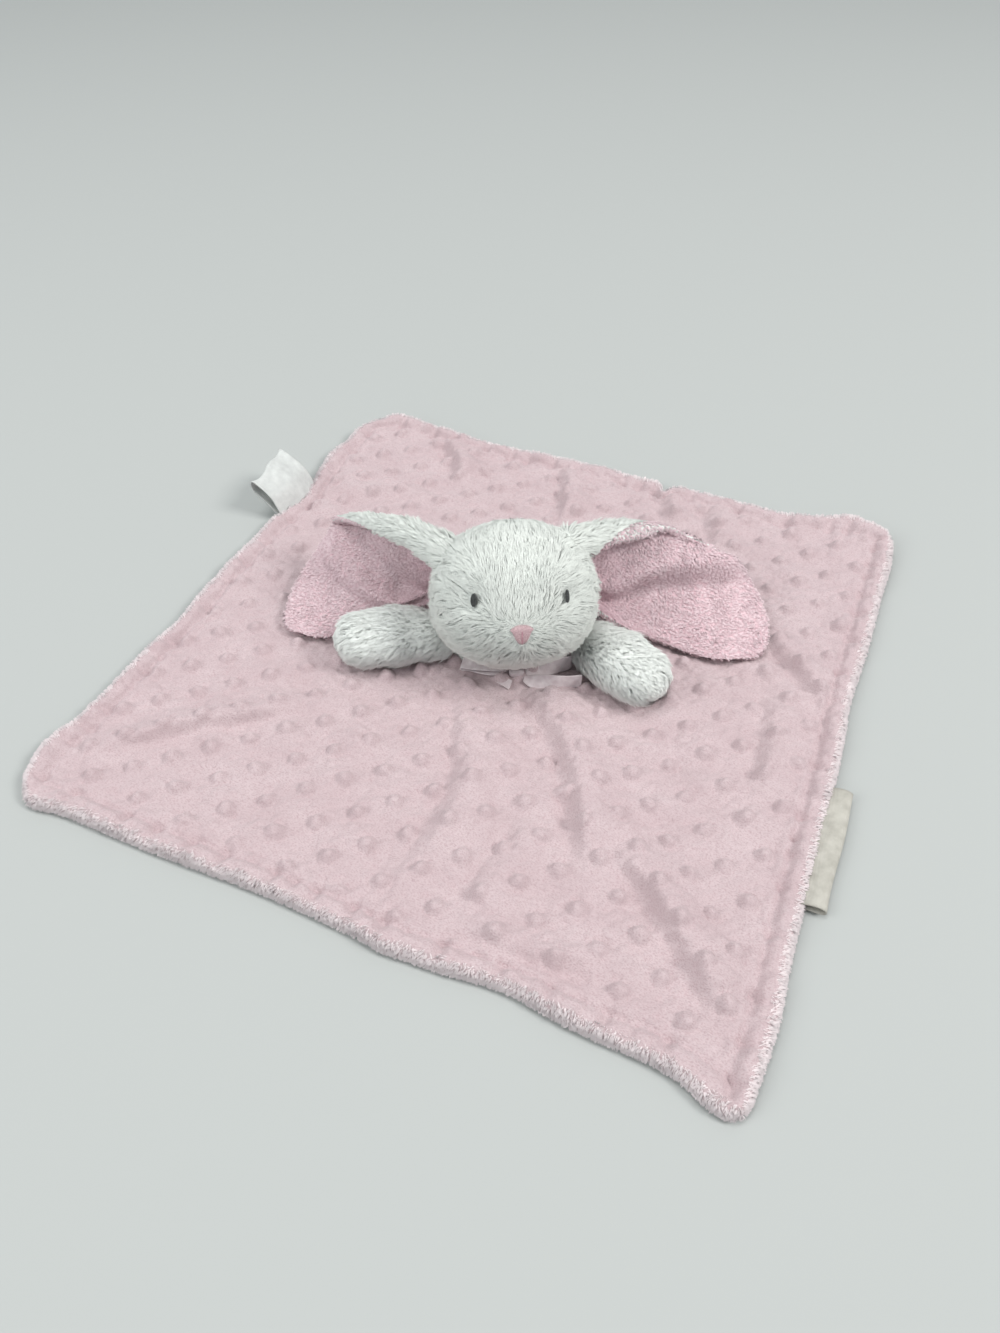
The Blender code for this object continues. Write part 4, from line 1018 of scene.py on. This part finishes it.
def face_combs(local):
    """Directions in which the head's fur lies: up the forehead, and outward over the cheeks."""
    away = unit(local - nose_place)
    side = local[:, :1] / head_half_width
    cheek = away + np.array([0.9, 0, 0]) * side + np.array([0, 0, -0.35]) * np.abs(side)
    whorl = ripple(local[:, 0] + local[:, 1], local[:, 2] - local[:, 1], fur_waves)[:, None]
    cheek = unit(cheek) + 0.55 * whorl * unit(np.cross(unit(local), cheek))
    smooth = forehead_share(local)[:, None]
    return cheek * (1 - smooth) + (upward + 0.25 * away) * smooth


def face_lengths(local):
    """Fur length over the head: shorter round the eyes, round the nose and under the chin."""
    length = np.full(len(local), fur_length)
    length *= 1 - nose_fur_cut * bell(np.linalg.norm(local - nose_place, axis=1), nose_fur_radius)
    length *= 1 - chin_fur_cut * smooth_step(-chin_fur_drops[0], -chin_fur_drops[1], local[:, 2])
    for place in eye_places.values():
        length *= 1 - eye_fur_cut * bell(np.linalg.norm(local - place, axis=1), eye_fur_radius)
    return length


def clear_of_features(local):
    """Which fur roots are off the eyes, off the nose and off the neck's opening."""
    keep = np.ones(len(local), bool)
    for place in eye_places.values():
        off = local - place
        keep &= (off[:, 0] / (eye_width * 0.45)) ** 2 + (off[:, 2] / (eye_length * 0.45)) ** 2 > 1
    off = local - nose_place
    across = np.abs(off[:, 0]) / (nose_width / 2)
    height = off[:, 2] / nose_height
    keep &= ~((across < 0.95) & (height < 0.42) & (height > across ** 1.9 - 0.55) & (local[:, 1] < 0))
    world = to_world(local)
    opening = np.hypot(*(world[:, :2] - neck_plan).T) < neck_opening_radius
    return keep & ~(opening & (world[:, 2] < head_z))


def make_head():
    """The head's three panels, each a skin and its fur."""
    quarter = math.pi / 2
    face_rounds = (nape_seam_angle - math.tau, crown_seam_angle)
    panels = (("head_face_left", (-quarter, 0), face_rounds, ["head_face_left", "head_stuffing"]),
              ("head_face_right", (0, quarter), face_rounds, ["head_face_right"]),
              ("head_back", (-quarter, quarter), (crown_seam_angle, nape_seam_angle), ["head_back"]))
    for number, (name, sides, rounds, nodes) in enumerate(panels):
        local = head_surface(np.linspace(*sides, 60), np.linspace(*rounds, 90))
        world = to_world(local)
        if (grid_normals(world) * unit(world - head_centre)).sum() < 0:
            local, world = local[:, ::-1], world[:, ::-1]
        skin = add_piece(name + "_skin", world, "skin", "head", nodes)
        dice = np.random.default_rng(70 + number)
        roots, normals, _, _ = sample_grid(local, fur_density, dice)
        normals = facing(normals, roots)
        keep = clear_of_features(roots)
        roots, normals = roots[keep], normals[keep]
        smooth = forehead_share(roots)
        grow_strands(name + "_fur", to_world(roots), normals @ head_turn.T, face_combs(roots) @ head_turn.T,
                     face_lengths(roots), fur_width, 1.05 + 0.25 * smooth, "fur", "head",
                     clump=0.34 - 0.22 * smooth, seed=80 + number)


# Face

def patch_frame(place):
    """Axes of a patch on the face: right, up and outward."""
    slopes = [(np.linalg.norm(place + d) / head_reach(unit(place + d))
               - np.linalg.norm(place - d) / head_reach(unit(place - d))) for d in np.eye(3) * patch_step]
    out = unit(np.array(slopes))
    right = unit(np.cross(upward, out))
    right = right * np.sign(right[0])
    up = np.cross(out, right)
    return right, up * np.sign(up[2]), out


def sew_lines(name, place, starts, ends, lift, radius, finish, nodes=()):
    """Threads across a patch of the face, from its own side and height, with a padded middle."""
    right, up, out = patch_frame(place)
    shares = np.linspace(0, 1, 7)
    flat = starts[:, None] + (ends - starts)[:, None] * shares[None, :, None]
    dome = np.sqrt(np.clip(1 - (2 * shares - 1) ** 2, 0, 1))[None, :]
    height = lift[:, None] * (0.35 + 0.65 * dome)
    points = place + flat[..., :1] * right + flat[..., 1:] * up + height[..., None] * out
    tubes(name, to_world(points), radius, finish, "head", nodes)


def make_eyes():
    """Two upright ovals of close horizontal stitches."""
    heights = np.linspace(-0.47, 0.47, 15) * eye_length
    oval = eye_width / 2 * np.sqrt(np.clip(1 - (heights / (eye_length / 2)) ** 2, 0.02, 1))
    for side, place in eye_places.items():
        half = oval * eye_width_shares[side]
        starts, ends = np.stack([-half, heights - eye_tilt], 1), np.stack([half, heights + 2 * eye_tilt], 1)
        lift = eye_pad * (half / half.max()) ** 0.5 + eye_lift
        name = "eye_" + side
        sew_lines(name + "_stitches", place, starts, ends, lift, thread_radius, "eye", [name])


def make_nose():
    """A padded rounded triangle of long upright stitches, with a centre line."""
    across = np.linspace(-1, 1, 27)
    top = nose_height * (0.5 - 0.24 * np.abs(across) ** 2.6)
    foot = nose_height * (0.62 * np.abs(across) ** 2.8 - 0.5)
    starts = np.stack([across * nose_width / 2, np.maximum(top, foot + nose_pinch)], 1)
    ends = np.stack([across * nose_width / 2 * nose_narrowing, foot], 1)
    lift = nose_pad * (1 - 0.5 * np.abs(across) ** 3)
    sew_lines("nose_stitches", nose_place, starts, ends, lift, thread_radius * 1.1, "nose", ["nose"])
    centre = np.array([[0.0, nose_height * 0.34]]), np.array([[0.0, -nose_height * 0.52]])
    sew_lines("nose_centre_stitch", nose_place, *centre, np.array([nose_pad + nose_line_lift]),
              thread_radius * 1.3, "nose_line")


# Ears

def ear_surface(side, rows, columns):
    """The surface between an ear's layers: t along it, v across it and then round the rolled crest."""
    t = np.linspace(ear_root_share, 1, rows)
    flat = int(columns * ear_flat_share)
    v = np.concatenate([np.linspace(0, 1, flat), np.ones(columns - flat)])
    turn = np.concatenate([np.zeros(flat), np.linspace(0, 1, columns - flat + 1)[1:]])
    fade = smooth_step(*ear_turn_fades[side], t)[:, None]
    turn = turn * (ear_curl_turn + (ear_tip_turns[side] - ear_curl_turn) * fade)
    fronts, crests = ear_front_shares[side], ear_crest_shares[side]
    front = track(fronts, t)[:, None] * ear_length + head_centre
    crest = track(crests, t)[:, None] * ear_length + head_centre
    rise = crest[..., 2] - front[..., 2]
    across = crest - front
    across[..., 2] = 0
    power = ear_hollow_power + ear_cup_powers[side] * bell(t[:, None], ear_cup_shares[side])
    points = front + across * v[None, :, None]
    points[..., 2] = np.maximum(front[..., 2] + rise * v ** power, ear_bed_z)
    middle, far = track(fronts, [0.5, 1.0]) + track(crests, [0.5, 1.0])
    outward = far - middle
    outward[2] = 0
    bulge = ear_end_bulge * t[:, None] ** ear_bulge_power * (1 - (2 * v - 1) ** 2)
    points = points + unit(outward) * bulge[..., None]
    pull = ear_corner_pull * (t[:, None] * (1 - v)) ** 12
    points = points - (unit(outward) - unit(across)) * pull[..., None]
    reach = np.linalg.norm(across, axis=-1, keepdims=True)
    level = across / reach
    tangent = unit(level * reach + upward * ear_hollow_power * rise[..., None])
    inward = unit(upward * reach - level * ear_hollow_power * rise[..., None])
    radius = ear_curl_radius * (1 - ear_curl_fade_share * np.minimum(1, t / ear_curl_end_share) ** 2)
    radius = radius + ear_root_flare * bell(t, ear_root_flare_share)
    curl = inward * (1 - np.cos(turn))[..., None] + tangent * np.sin(turn)[..., None]
    return points + curl * radius[:, None, None]


def ear_relief(side, rows, columns):
    """Soft creases of an ear's cloth, along its normal."""
    t, w = np.meshgrid(np.linspace(0, 1, rows), np.linspace(0, 1, columns) / ear_flat_share, indexing="ij")
    (start, slant), set_in, waves = ear_creases[side]
    line = w - (start + slant * t)
    ends = smooth_step(*set_in, t) * smooth_step(1.0, 0.85, t)
    crease = sum(height * bell(line - place, width) for height, place, width in waves)
    return ends * crease + ear_unevenness * ripple(t, w * 0.6, make_waves(14, *ear_wave_shares, 17))


def make_ear(side):
    """An ear's white back with fur and its pink lining with pile, joined along the ear's edge."""
    rows, columns = 110, 84
    middle = ear_surface(side, rows, columns)
    normals = grid_normals(middle)
    normals = normals * np.sign(normals[10:-10, 5:columns // 2, 2].sum())
    t, w = np.meshgrid(np.linspace(0, 1, rows), np.linspace(0, 1, columns), indexing="ij")
    full = quarter_round(np.minimum(np.minimum(w, 1 - w), (1 - t) * 1.3) / ear_edge_share)[..., None]
    relief = ear_relief(side, rows, columns)[..., None] * full
    lining = middle + normals * (ear_lining_thickness * full + relief)
    back = middle - normals * (ear_back_thickness * full - relief * 0.7)
    back[..., 2] = np.maximum(back[..., 2], cloth_seat + ear_back_gap)
    body = "ear_" + side
    for name, points, wanted, finish, node in (("_lining_cloth", lining, normals, "velour", "_lining"),
                                               ("_back_cloth", back, -normals, "skin", "_outer")):
        faces = grid_faces(rows, columns, keep=cells_outside_head(points))
        if (grid_normals(points) * wanted).sum() <= 0:
            faces = faces[:, ::-1]
        cloth = add_piece(body + name, points, finish, body, [body + node], [faces])
    grow_ear_fur(side, body, back, normals)
    grow_ear_pile(side, body, lining, back, normals)


def inside_white(side, t, w):
    """How far inside the white fur's edge a place is; beyond it the pink pile comes over the crest."""
    (start, low), (end, high) = ear_pink_spans[side]
    return low + (high - low) * np.clip((t - start) / (end - start), 0, 1) - w


def ear_way(stations, t):
    """Direction in which one of an ear's two lines runs at shares of its length."""
    return unit(track(stations, np.clip(t + 0.02, 0, 1)) - track(stations, np.clip(t - 0.02, 0, 1)))


def grow_ear_fur(side, body, back, normals):
    """Fur on an ear's back and rolled crest."""
    dice = np.random.default_rng(90 + (side == "right"))
    roots, normal, t, w = ear_roots(back, -normals, fur_density, dice)
    inside = inside_white(side, t, w)
    pressed = (normal[:, 2] < -0.3) & (roots[:, 2] < cloth_seat + ear_pressed_height)
    keep = (inside > 0) & (w > ear_front_share) & ~pressed
    lengths = (fur_length * (0.95 - 0.55 * smooth_step(0.35, 1.0, t))
               * (0.45 + 0.55 * smooth_step(0.0, 0.1, inside)))
    combs = ear_way(ear_crest_shares[side], t) + np.array([0, 0, -0.35])
    lean = 0.95 + 0.25 * smooth_step(0.1, 0.5, t)
    grow_strands(body + "_fur", roots[keep], normal[keep], combs[keep], lengths[keep], fur_width,
                 lean[keep], "fur", body, seed=95)


def ear_roots(points, outward, density, dice):
    """Places on one of an ear's two cloths, with normals that face its own side."""
    roots, normal, t, w = sample_grid(points, density, dice)
    rows, columns = points.shape[:2]
    picked = outward[np.minimum((t * (rows - 1)).astype(int), rows - 1),
                     np.minimum((w * (columns - 1)).astype(int), columns - 1)]
    normal = facing(normal, picked)
    keep = head_room(roots) > strand_clear
    return roots[keep], normal[keep], (ear_root_share + (1 - ear_root_share) * t)[keep], w[keep]


def grow_ear_pile(side, body, lining, back, normals):
    """Short brushed pile over an ear's lining and over the crest, combed towards its tip, with painted
    shade in the cup near the ear's root.
    """
    dice = np.random.default_rng(100 + (side == "right"))
    inner = ear_roots(lining, normals, pile_density, dice)
    outer = ear_roots(back, -normals, pile_density, dice)
    over = (inside_white(side, outer[2], outer[3]) < 0.01) | (outer[3] < ear_front_share)
    roots, normal, t = (np.concatenate([a, b[over]]) for a, b in zip(inner[:3], outer[:3]))
    along = ear_way(ear_front_shares[side], t)
    brushed = ripple(roots[:, 0], roots[:, 1], fur_waves)[:, None]
    combs = along + np.array([0, -0.5, -0.2]) + 0.6 * brushed * np.cross(normal, along)
    # Painted shade: the pile darkens near the ear's root, where the cup lies in shadow.
    painted_shade = ear_cup_painted_shade * bell(t - ear_root_share, ear_cup_painted_shade_share)
    for name, part, seed in (("_root_pile", t < ear_pile_split, 105),
                             ("_tip_pile", t >= ear_pile_split, 106)):
        grow_strands(body + name, roots[part], normal[part], combs[part], pile_length, pile_width, 1.0,
                     "velour_pile", body, clump=0.6, clump_size=8, ruffle=0.45, painted_shade=painted_shade[part],
                     seed=seed)


# Arms

def arm_section(share):
    """Half width and half height of an arm at shares of its length."""
    swell = np.sin(np.minimum(1.0, share / arm_swell_share) * math.pi / 2) ** arm_swell_power
    past = np.maximum(0.0, (share - arm_taper_share) / (1 - arm_taper_share))
    taper = np.sqrt(np.maximum(0.0, 1 - past ** 2))
    half_width = arm_root_half_width + (arm_half_width - arm_root_half_width) * swell
    half_height = arm_root_half_height + (arm_half_height - arm_root_half_height) * swell
    return half_width * taper, half_height * taper


def arm_surface(start, end, rows, columns):
    """Rings of points along an arm that lies on the cloth, a little flat below, and its two directions."""
    length = np.linalg.norm(end - start)
    along = (end - start) / length
    across = np.array([-along[1], along[0], 0.0])
    share = arm_root_share + (1 - arm_root_share) * np.sin(np.linspace(0, 1, rows) * math.pi / 2)
    half_width, half_height = arm_section(share)
    middle_z = cloth_seat + arm_section(np.minimum(share, arm_taper_share))[1]
    turn = np.linspace(0, math.tau, columns)
    waves = make_waves(10, *arm_wave_shares, 23)
    lumps = 1 + arm_lump_share * ripple(share[:, None] * 3, np.cos(turn)[None] * 0.5, waves)
    wide = half_width[:, None] * np.cos(turn) * lumps
    tall = half_height[:, None] * np.sin(turn) * lumps
    points = start + along * (length * share)[:, None, None] + across * wide[..., None]
    points[..., 2] = np.maximum(middle_z[:, None] + tall, cloth_seat + limb_gap)
    return points, along, across


def make_arm(side):
    """An arm's skin and its fur, which lies towards the paw and parts at the paw's seam."""
    shoulder, paw = np.array([*shoulders[side], 0.0]), np.array([*paws[side], 0.0])
    points, along, across = arm_surface(shoulder, paw, 80, 49)
    body = "arm_" + side
    centre = points[:, :-1].mean(axis=1, keepdims=True)
    if (grid_normals(points)[:-2] * (points - centre)[:-2]).sum() < 0:
        points = points[:, ::-1]
    faces = grid_faces(*points.shape[:2], keep=cells_outside_head(points))
    skin = add_piece(body + "_skin", points, "skin", body, [body + "_plush", body + "_stuffing"], [faces])
    dice = np.random.default_rng(110 + (side == "right"))
    roots, normal, t, _ = sample_grid(points[:-1], arm_fur_density, dice)
    axis = shoulder + ((roots - shoulder) @ along)[:, None] * along
    axis[:, 2] = cloth_seat + arm_half_height
    normal = facing(normal, roots - axis)
    keep = (head_room(roots) > arm_fur_gap) & (roots[:, 2] > cloth_seat + arm_bare_height)
    roots, normal, t = roots[keep], normal[keep], t[keep]
    tip = smooth_step(0.68, 0.95, t)
    lengths = fur_length * (0.8 - 0.4 * bell(t - paw_seam_share, 0.035) - 0.3 * tip)
    lengths = lengths * smooth_step(*arm_fur_rise, roots[:, 2] - cloth_seat + arm_fur_least_height)
    combs = along + np.array([0, 0, -0.45]) + across * 0.25
    grow_strands(body + "_fur", roots, normal, combs, lengths, fur_width * 0.88, 1.15 + 0.25 * tip,
                 "arm_fur", body, clump=0.12, clump_size=9, ruffle=0.22, seed=115)


# Neck, yoke and ribbon

def make_neck():
    """The stuffed neck's cloth, gathered under the ribbon."""
    turn = np.linspace(0, math.tau, 73)[:-1]
    rows = []
    for z in np.linspace(cloth_seat, neck_z + neck_rise, 30):
        tie = bell(z - cloth_seat - band_lift - band_height / 2, neck_tie_reach)
        gathers = 1 + neck_gather_share * np.cos(turn * neck_gathers)
        radius = neck_stem_radius * (1 - neck_tie_share * tie) * gathers
        level = np.full(len(turn), z)
        rows.append(np.stack([np.cos(turn) * radius, np.sin(turn) * radius, level], axis=-1))
    points = np.array(rows)
    points[..., :2] += neck_plan
    faces = grid_faces(*points.shape[:2], closed=True)
    neck = add_piece("neck_cloth", points, "skin", "blanket", ["neck_stuffing"], [faces])


def make_yoke():
    """The flat yoke that joins the arms under the head, with its fur."""
    radius, turn = np.meshgrid(np.linspace(0.35, 1, 24), np.linspace(0, math.tau, 97), indexing="ij")
    middle = (head_centre - ahead * yoke_back) * (1, 1, 0)
    points = (middle + aside * (radius * np.cos(turn) * yoke_half_width)[..., None]
              - ahead * (radius * np.sin(turn) * yoke_half_depth)[..., None])
    dome = np.sqrt(np.clip(1 - radius ** 2, 0, 1))
    points[..., 2] = cloth_seat + yoke_lift + yoke_height * 0.75 * dome
    points[..., 2] -= np.maximum(0, yoke_room - head_room(points))
    points[..., 2] = np.maximum(points[..., 2], cloth_seat + limb_gap)
    if grid_normals(points)[..., 2].sum() < 0:
        points = points[:, ::-1]
    yoke = add_piece("yoke_skin", points, "skin", "blanket", ["neck_yoke"])
    roots, normal, _, _ = sample_grid(points, yoke_fur_density, np.random.default_rng(120))
    normal = facing(normal, upward)
    off = (roots - [*neck_plan, 0]) * (1, 1, 0)
    off_neck = np.hypot(off[:, 0], off[:, 1]) > neck_stem_radius + yoke_fur_gap
    keep = off_neck & (head_room(roots) > yoke_head_gap)
    roots, normal, off = roots[keep], normal[keep], off[keep]
    lengths = np.minimum(fur_length * 0.8, head_room(roots) * 0.9 + yoke_fur_least)
    grow_strands("yoke_fur", roots, normal, off, lengths, fur_width, 1.15, "fur", "blanket", seed=121)


def sheet_strip(name, rows, thickness, finish, body, node):
    """A closed thin strip of ribbon or tape through a grid of points, thicker at its selvedges."""
    normals = grid_normals(rows)
    count, columns, _ = rows.shape
    across = np.linspace(-1, 1, columns)
    thick = thickness * (1 + selvedge_swell * bell(1 - np.abs(across), selvedge_share))[None, :, None]
    points = np.concatenate([rows + normals * thick / 2, rows - normals * thick / 2])
    faces = grid_faces(count, columns)
    total = count * columns
    ring = np.concatenate([np.arange(columns), np.arange(1, count) * columns + columns - 1,
                           (count - 1) * columns + np.arange(columns - 2, -1, -1),
                           np.arange(count - 2, 0, -1) * columns])
    after = np.roll(ring, -1)
    wall = np.stack([ring, ring + total, after + total, after], axis=1)
    return add_piece(name, points, finish, body, [node], [faces[:, ::-1], faces + total, wall[:, ::-1]])


def make_ribbon(name, end_shares, stations):
    """A stretch of the bow's ribbon, lying flat or standing on edge."""
    reach = (aside * end_shares[0] + ahead * end_shares[1]) * ribbon_width
    along = unit(reach)
    across = np.array([-along[1], along[0], 0])
    across = across * np.sign(across @ ahead)
    share, drift, lift, lean, width = track(stations, np.linspace(0, 1, 56)).T
    half = ribbon_width * width / 2
    turn = lean * math.pi / 2
    middle = knot_centre * (1, 1, 0) + reach * share[:, None] + across * (drift * ribbon_width)[:, None]
    middle[:, 2] = cloth_seat + lift * ribbon_width + half * np.abs(np.sin(turn))
    direction = across * -np.cos(turn)[:, None] + upward * np.sin(turn)[:, None]
    rows = middle[:, None] + direction[:, None] * (half[:, None] * np.linspace(-1, 1, 13))[..., None]
    sheet_strip(name + "_ribbon", rows, ribbon_thickness, "satin", "blanket", name)


def make_band():
    """The ribbon round the neck."""
    turn, z = np.meshgrid(np.linspace(0, math.tau, 97), np.linspace(0, band_height, 9), indexing="ij")
    radius = neck_stem_radius + band_gap + band_thickness / 2
    radius = radius + band_bulge * np.sin(z / band_height * math.pi)
    points = np.stack([np.cos(turn) * radius, np.sin(turn) * radius, cloth_seat + band_lift + z], axis=-1)
    points[..., :2] += neck_plan
    sheet_strip("neck_band_ribbon", points, ribbon_thickness, "satin", "blanket", "ribbon_band")


def squarish(value):
    """A sine or cosine pushed out towards a square's."""
    return np.sign(value) * np.abs(value) ** knot_squareness


def make_knot():
    """The bow's knot: a soft square turn of ribbon with drawn creases."""
    quarter = math.pi / 2
    u, v = np.meshgrid(np.linspace(-quarter, quarter, 33), np.linspace(0, math.tau, 49), indexing="ij")
    crease = 1 + knot_crease_share * np.sin(v * 5 + 3 * np.sin(u))
    length = knot_length / 2 * squarish(np.sin(u))
    depth = knot_depth / 2 * squarish(np.cos(u)) * squarish(np.cos(v)) * crease
    height = knot_height / 2 * squarish(np.cos(u)) * squarish(np.sin(v)) * crease
    points = (knot_centre + aside * length[..., None] + ahead * depth[..., None]
              + upward * height[..., None])
    faces = grid_faces(*u.shape)
    if (grid_normals(points)[1:-1] * (points - knot_centre)[1:-1]).sum() < 0:
        faces = faces[:, ::-1]
    add_piece("knot_ribbon", points, "satin", "blanket", ["bow_knot"], [faces])


# Labels

def side_line(sign, y):
    """Where the blanket's left or right side lies at places along it."""
    b = np.linspace(-0.9, 0.9, 200)
    x, along = cloth_plan(np.full(200, float(sign)), b)
    return np.interp(y, along, x)


def make_label(name, side, middle_y, width, reach, skew, rise, root_z, wave, finish, section):
    """A folded label that stands out of the blanket's side."""
    shares = np.linspace(-0.5, 0.5, 45)
    y = middle_y + width * shares
    edge = side_line(side, y) - side * label_sewn_in
    out, up = track(section, np.linspace(0, 1, 60)).T
    grown = reach * (1 + skew * shares)
    flutter = wave * np.sin(shares * 7.0 + 0.6)[:, None] * out[None]
    x = edge[:, None] + side * ((grown[:, None] + label_sewn_in) * out[None] + flutter)
    z = root_z + rise * up[None] * (1 + 0.06 * np.cos(shares * 9)[:, None])
    rows = np.stack([x, np.broadcast_to(y[:, None], x.shape), z], axis=-1).swapaxes(0, 1)
    strip = sheet_strip(name + "_tape", rows, label_thickness, finish, name, name)


# Stage

def make_stage():
    """A pale floor, soft lamps and the camera at the photograph's angle."""
    pale = Finish("pale_floor", floor_color, 0.9)
    pale.give(pale.shader, {"Specular IOR Level": 0.1})
    corners = np.array([(-1, -1, 0), (1, -1, 0), (1, 1, 0), (-1, 1, 0)]) * floor_half + (0, 0, floor_z)
    floor = add_object("floor", mesh_of("floor", corners, [np.array([[0, 1, 2, 3]])]))
    floor.data.materials.append(pale.material)

    world = bpy.data.worlds.new("studio")
    world.use_nodes = True
    bpy.context.scene.world = world
    air = world.node_tree.nodes["Background"]
    air.inputs["Color"].default_value = air_color
    air.inputs["Strength"].default_value = air_strength
    for name, lamp in lamps.items():
        add_lamp(name, *lamp)

    lens = bpy.data.cameras.new("camera")
    lens.sensor_width = sensor_width
    lens.lens = lens_length
    lens.clip_start = nearest_seen
    camera = add_object("camera", lens)
    turn = Matrix((camera_right, camera_up, camera_back)).transposed().to_4x4()
    camera.matrix_world = Matrix.Translation(camera_place) @ turn
    bpy.context.scene.camera = camera
    bpy.context.scene.view_settings.view_transform = "Standard"


def add_lamp(name, place, size, power, color):
    """A soft square lamp that looks at the blanket's middle."""
    lamp = bpy.data.lights.new(name, "AREA")
    lamp.shape = "SQUARE"
    lamp.size = size
    lamp.energy = power
    lamp.color = color
    made = add_object(name, lamp)
    made.location = place
    made.rotation_mode = "QUATERNION"
    made.rotation_quaternion = Vector(place).to_track_quat("Z", "Y")


def main():
    """Build the whole scene."""
    for make in (make_cloths, make_topstitch, make_rim_fuzz, make_head, make_eyes, make_nose):
        make()
    for side in ("left", "right"):
        make_ear(side)
        make_arm(side)
    for make in (make_neck, make_yoke, make_band, make_knot):
        make()
    for name, (end_shares, stations) in ribbons.items():
        make_ribbon(name, end_shares, stations)
    for name, label in labels.items():
        make_label(name, **label)
    make_stage()


main()
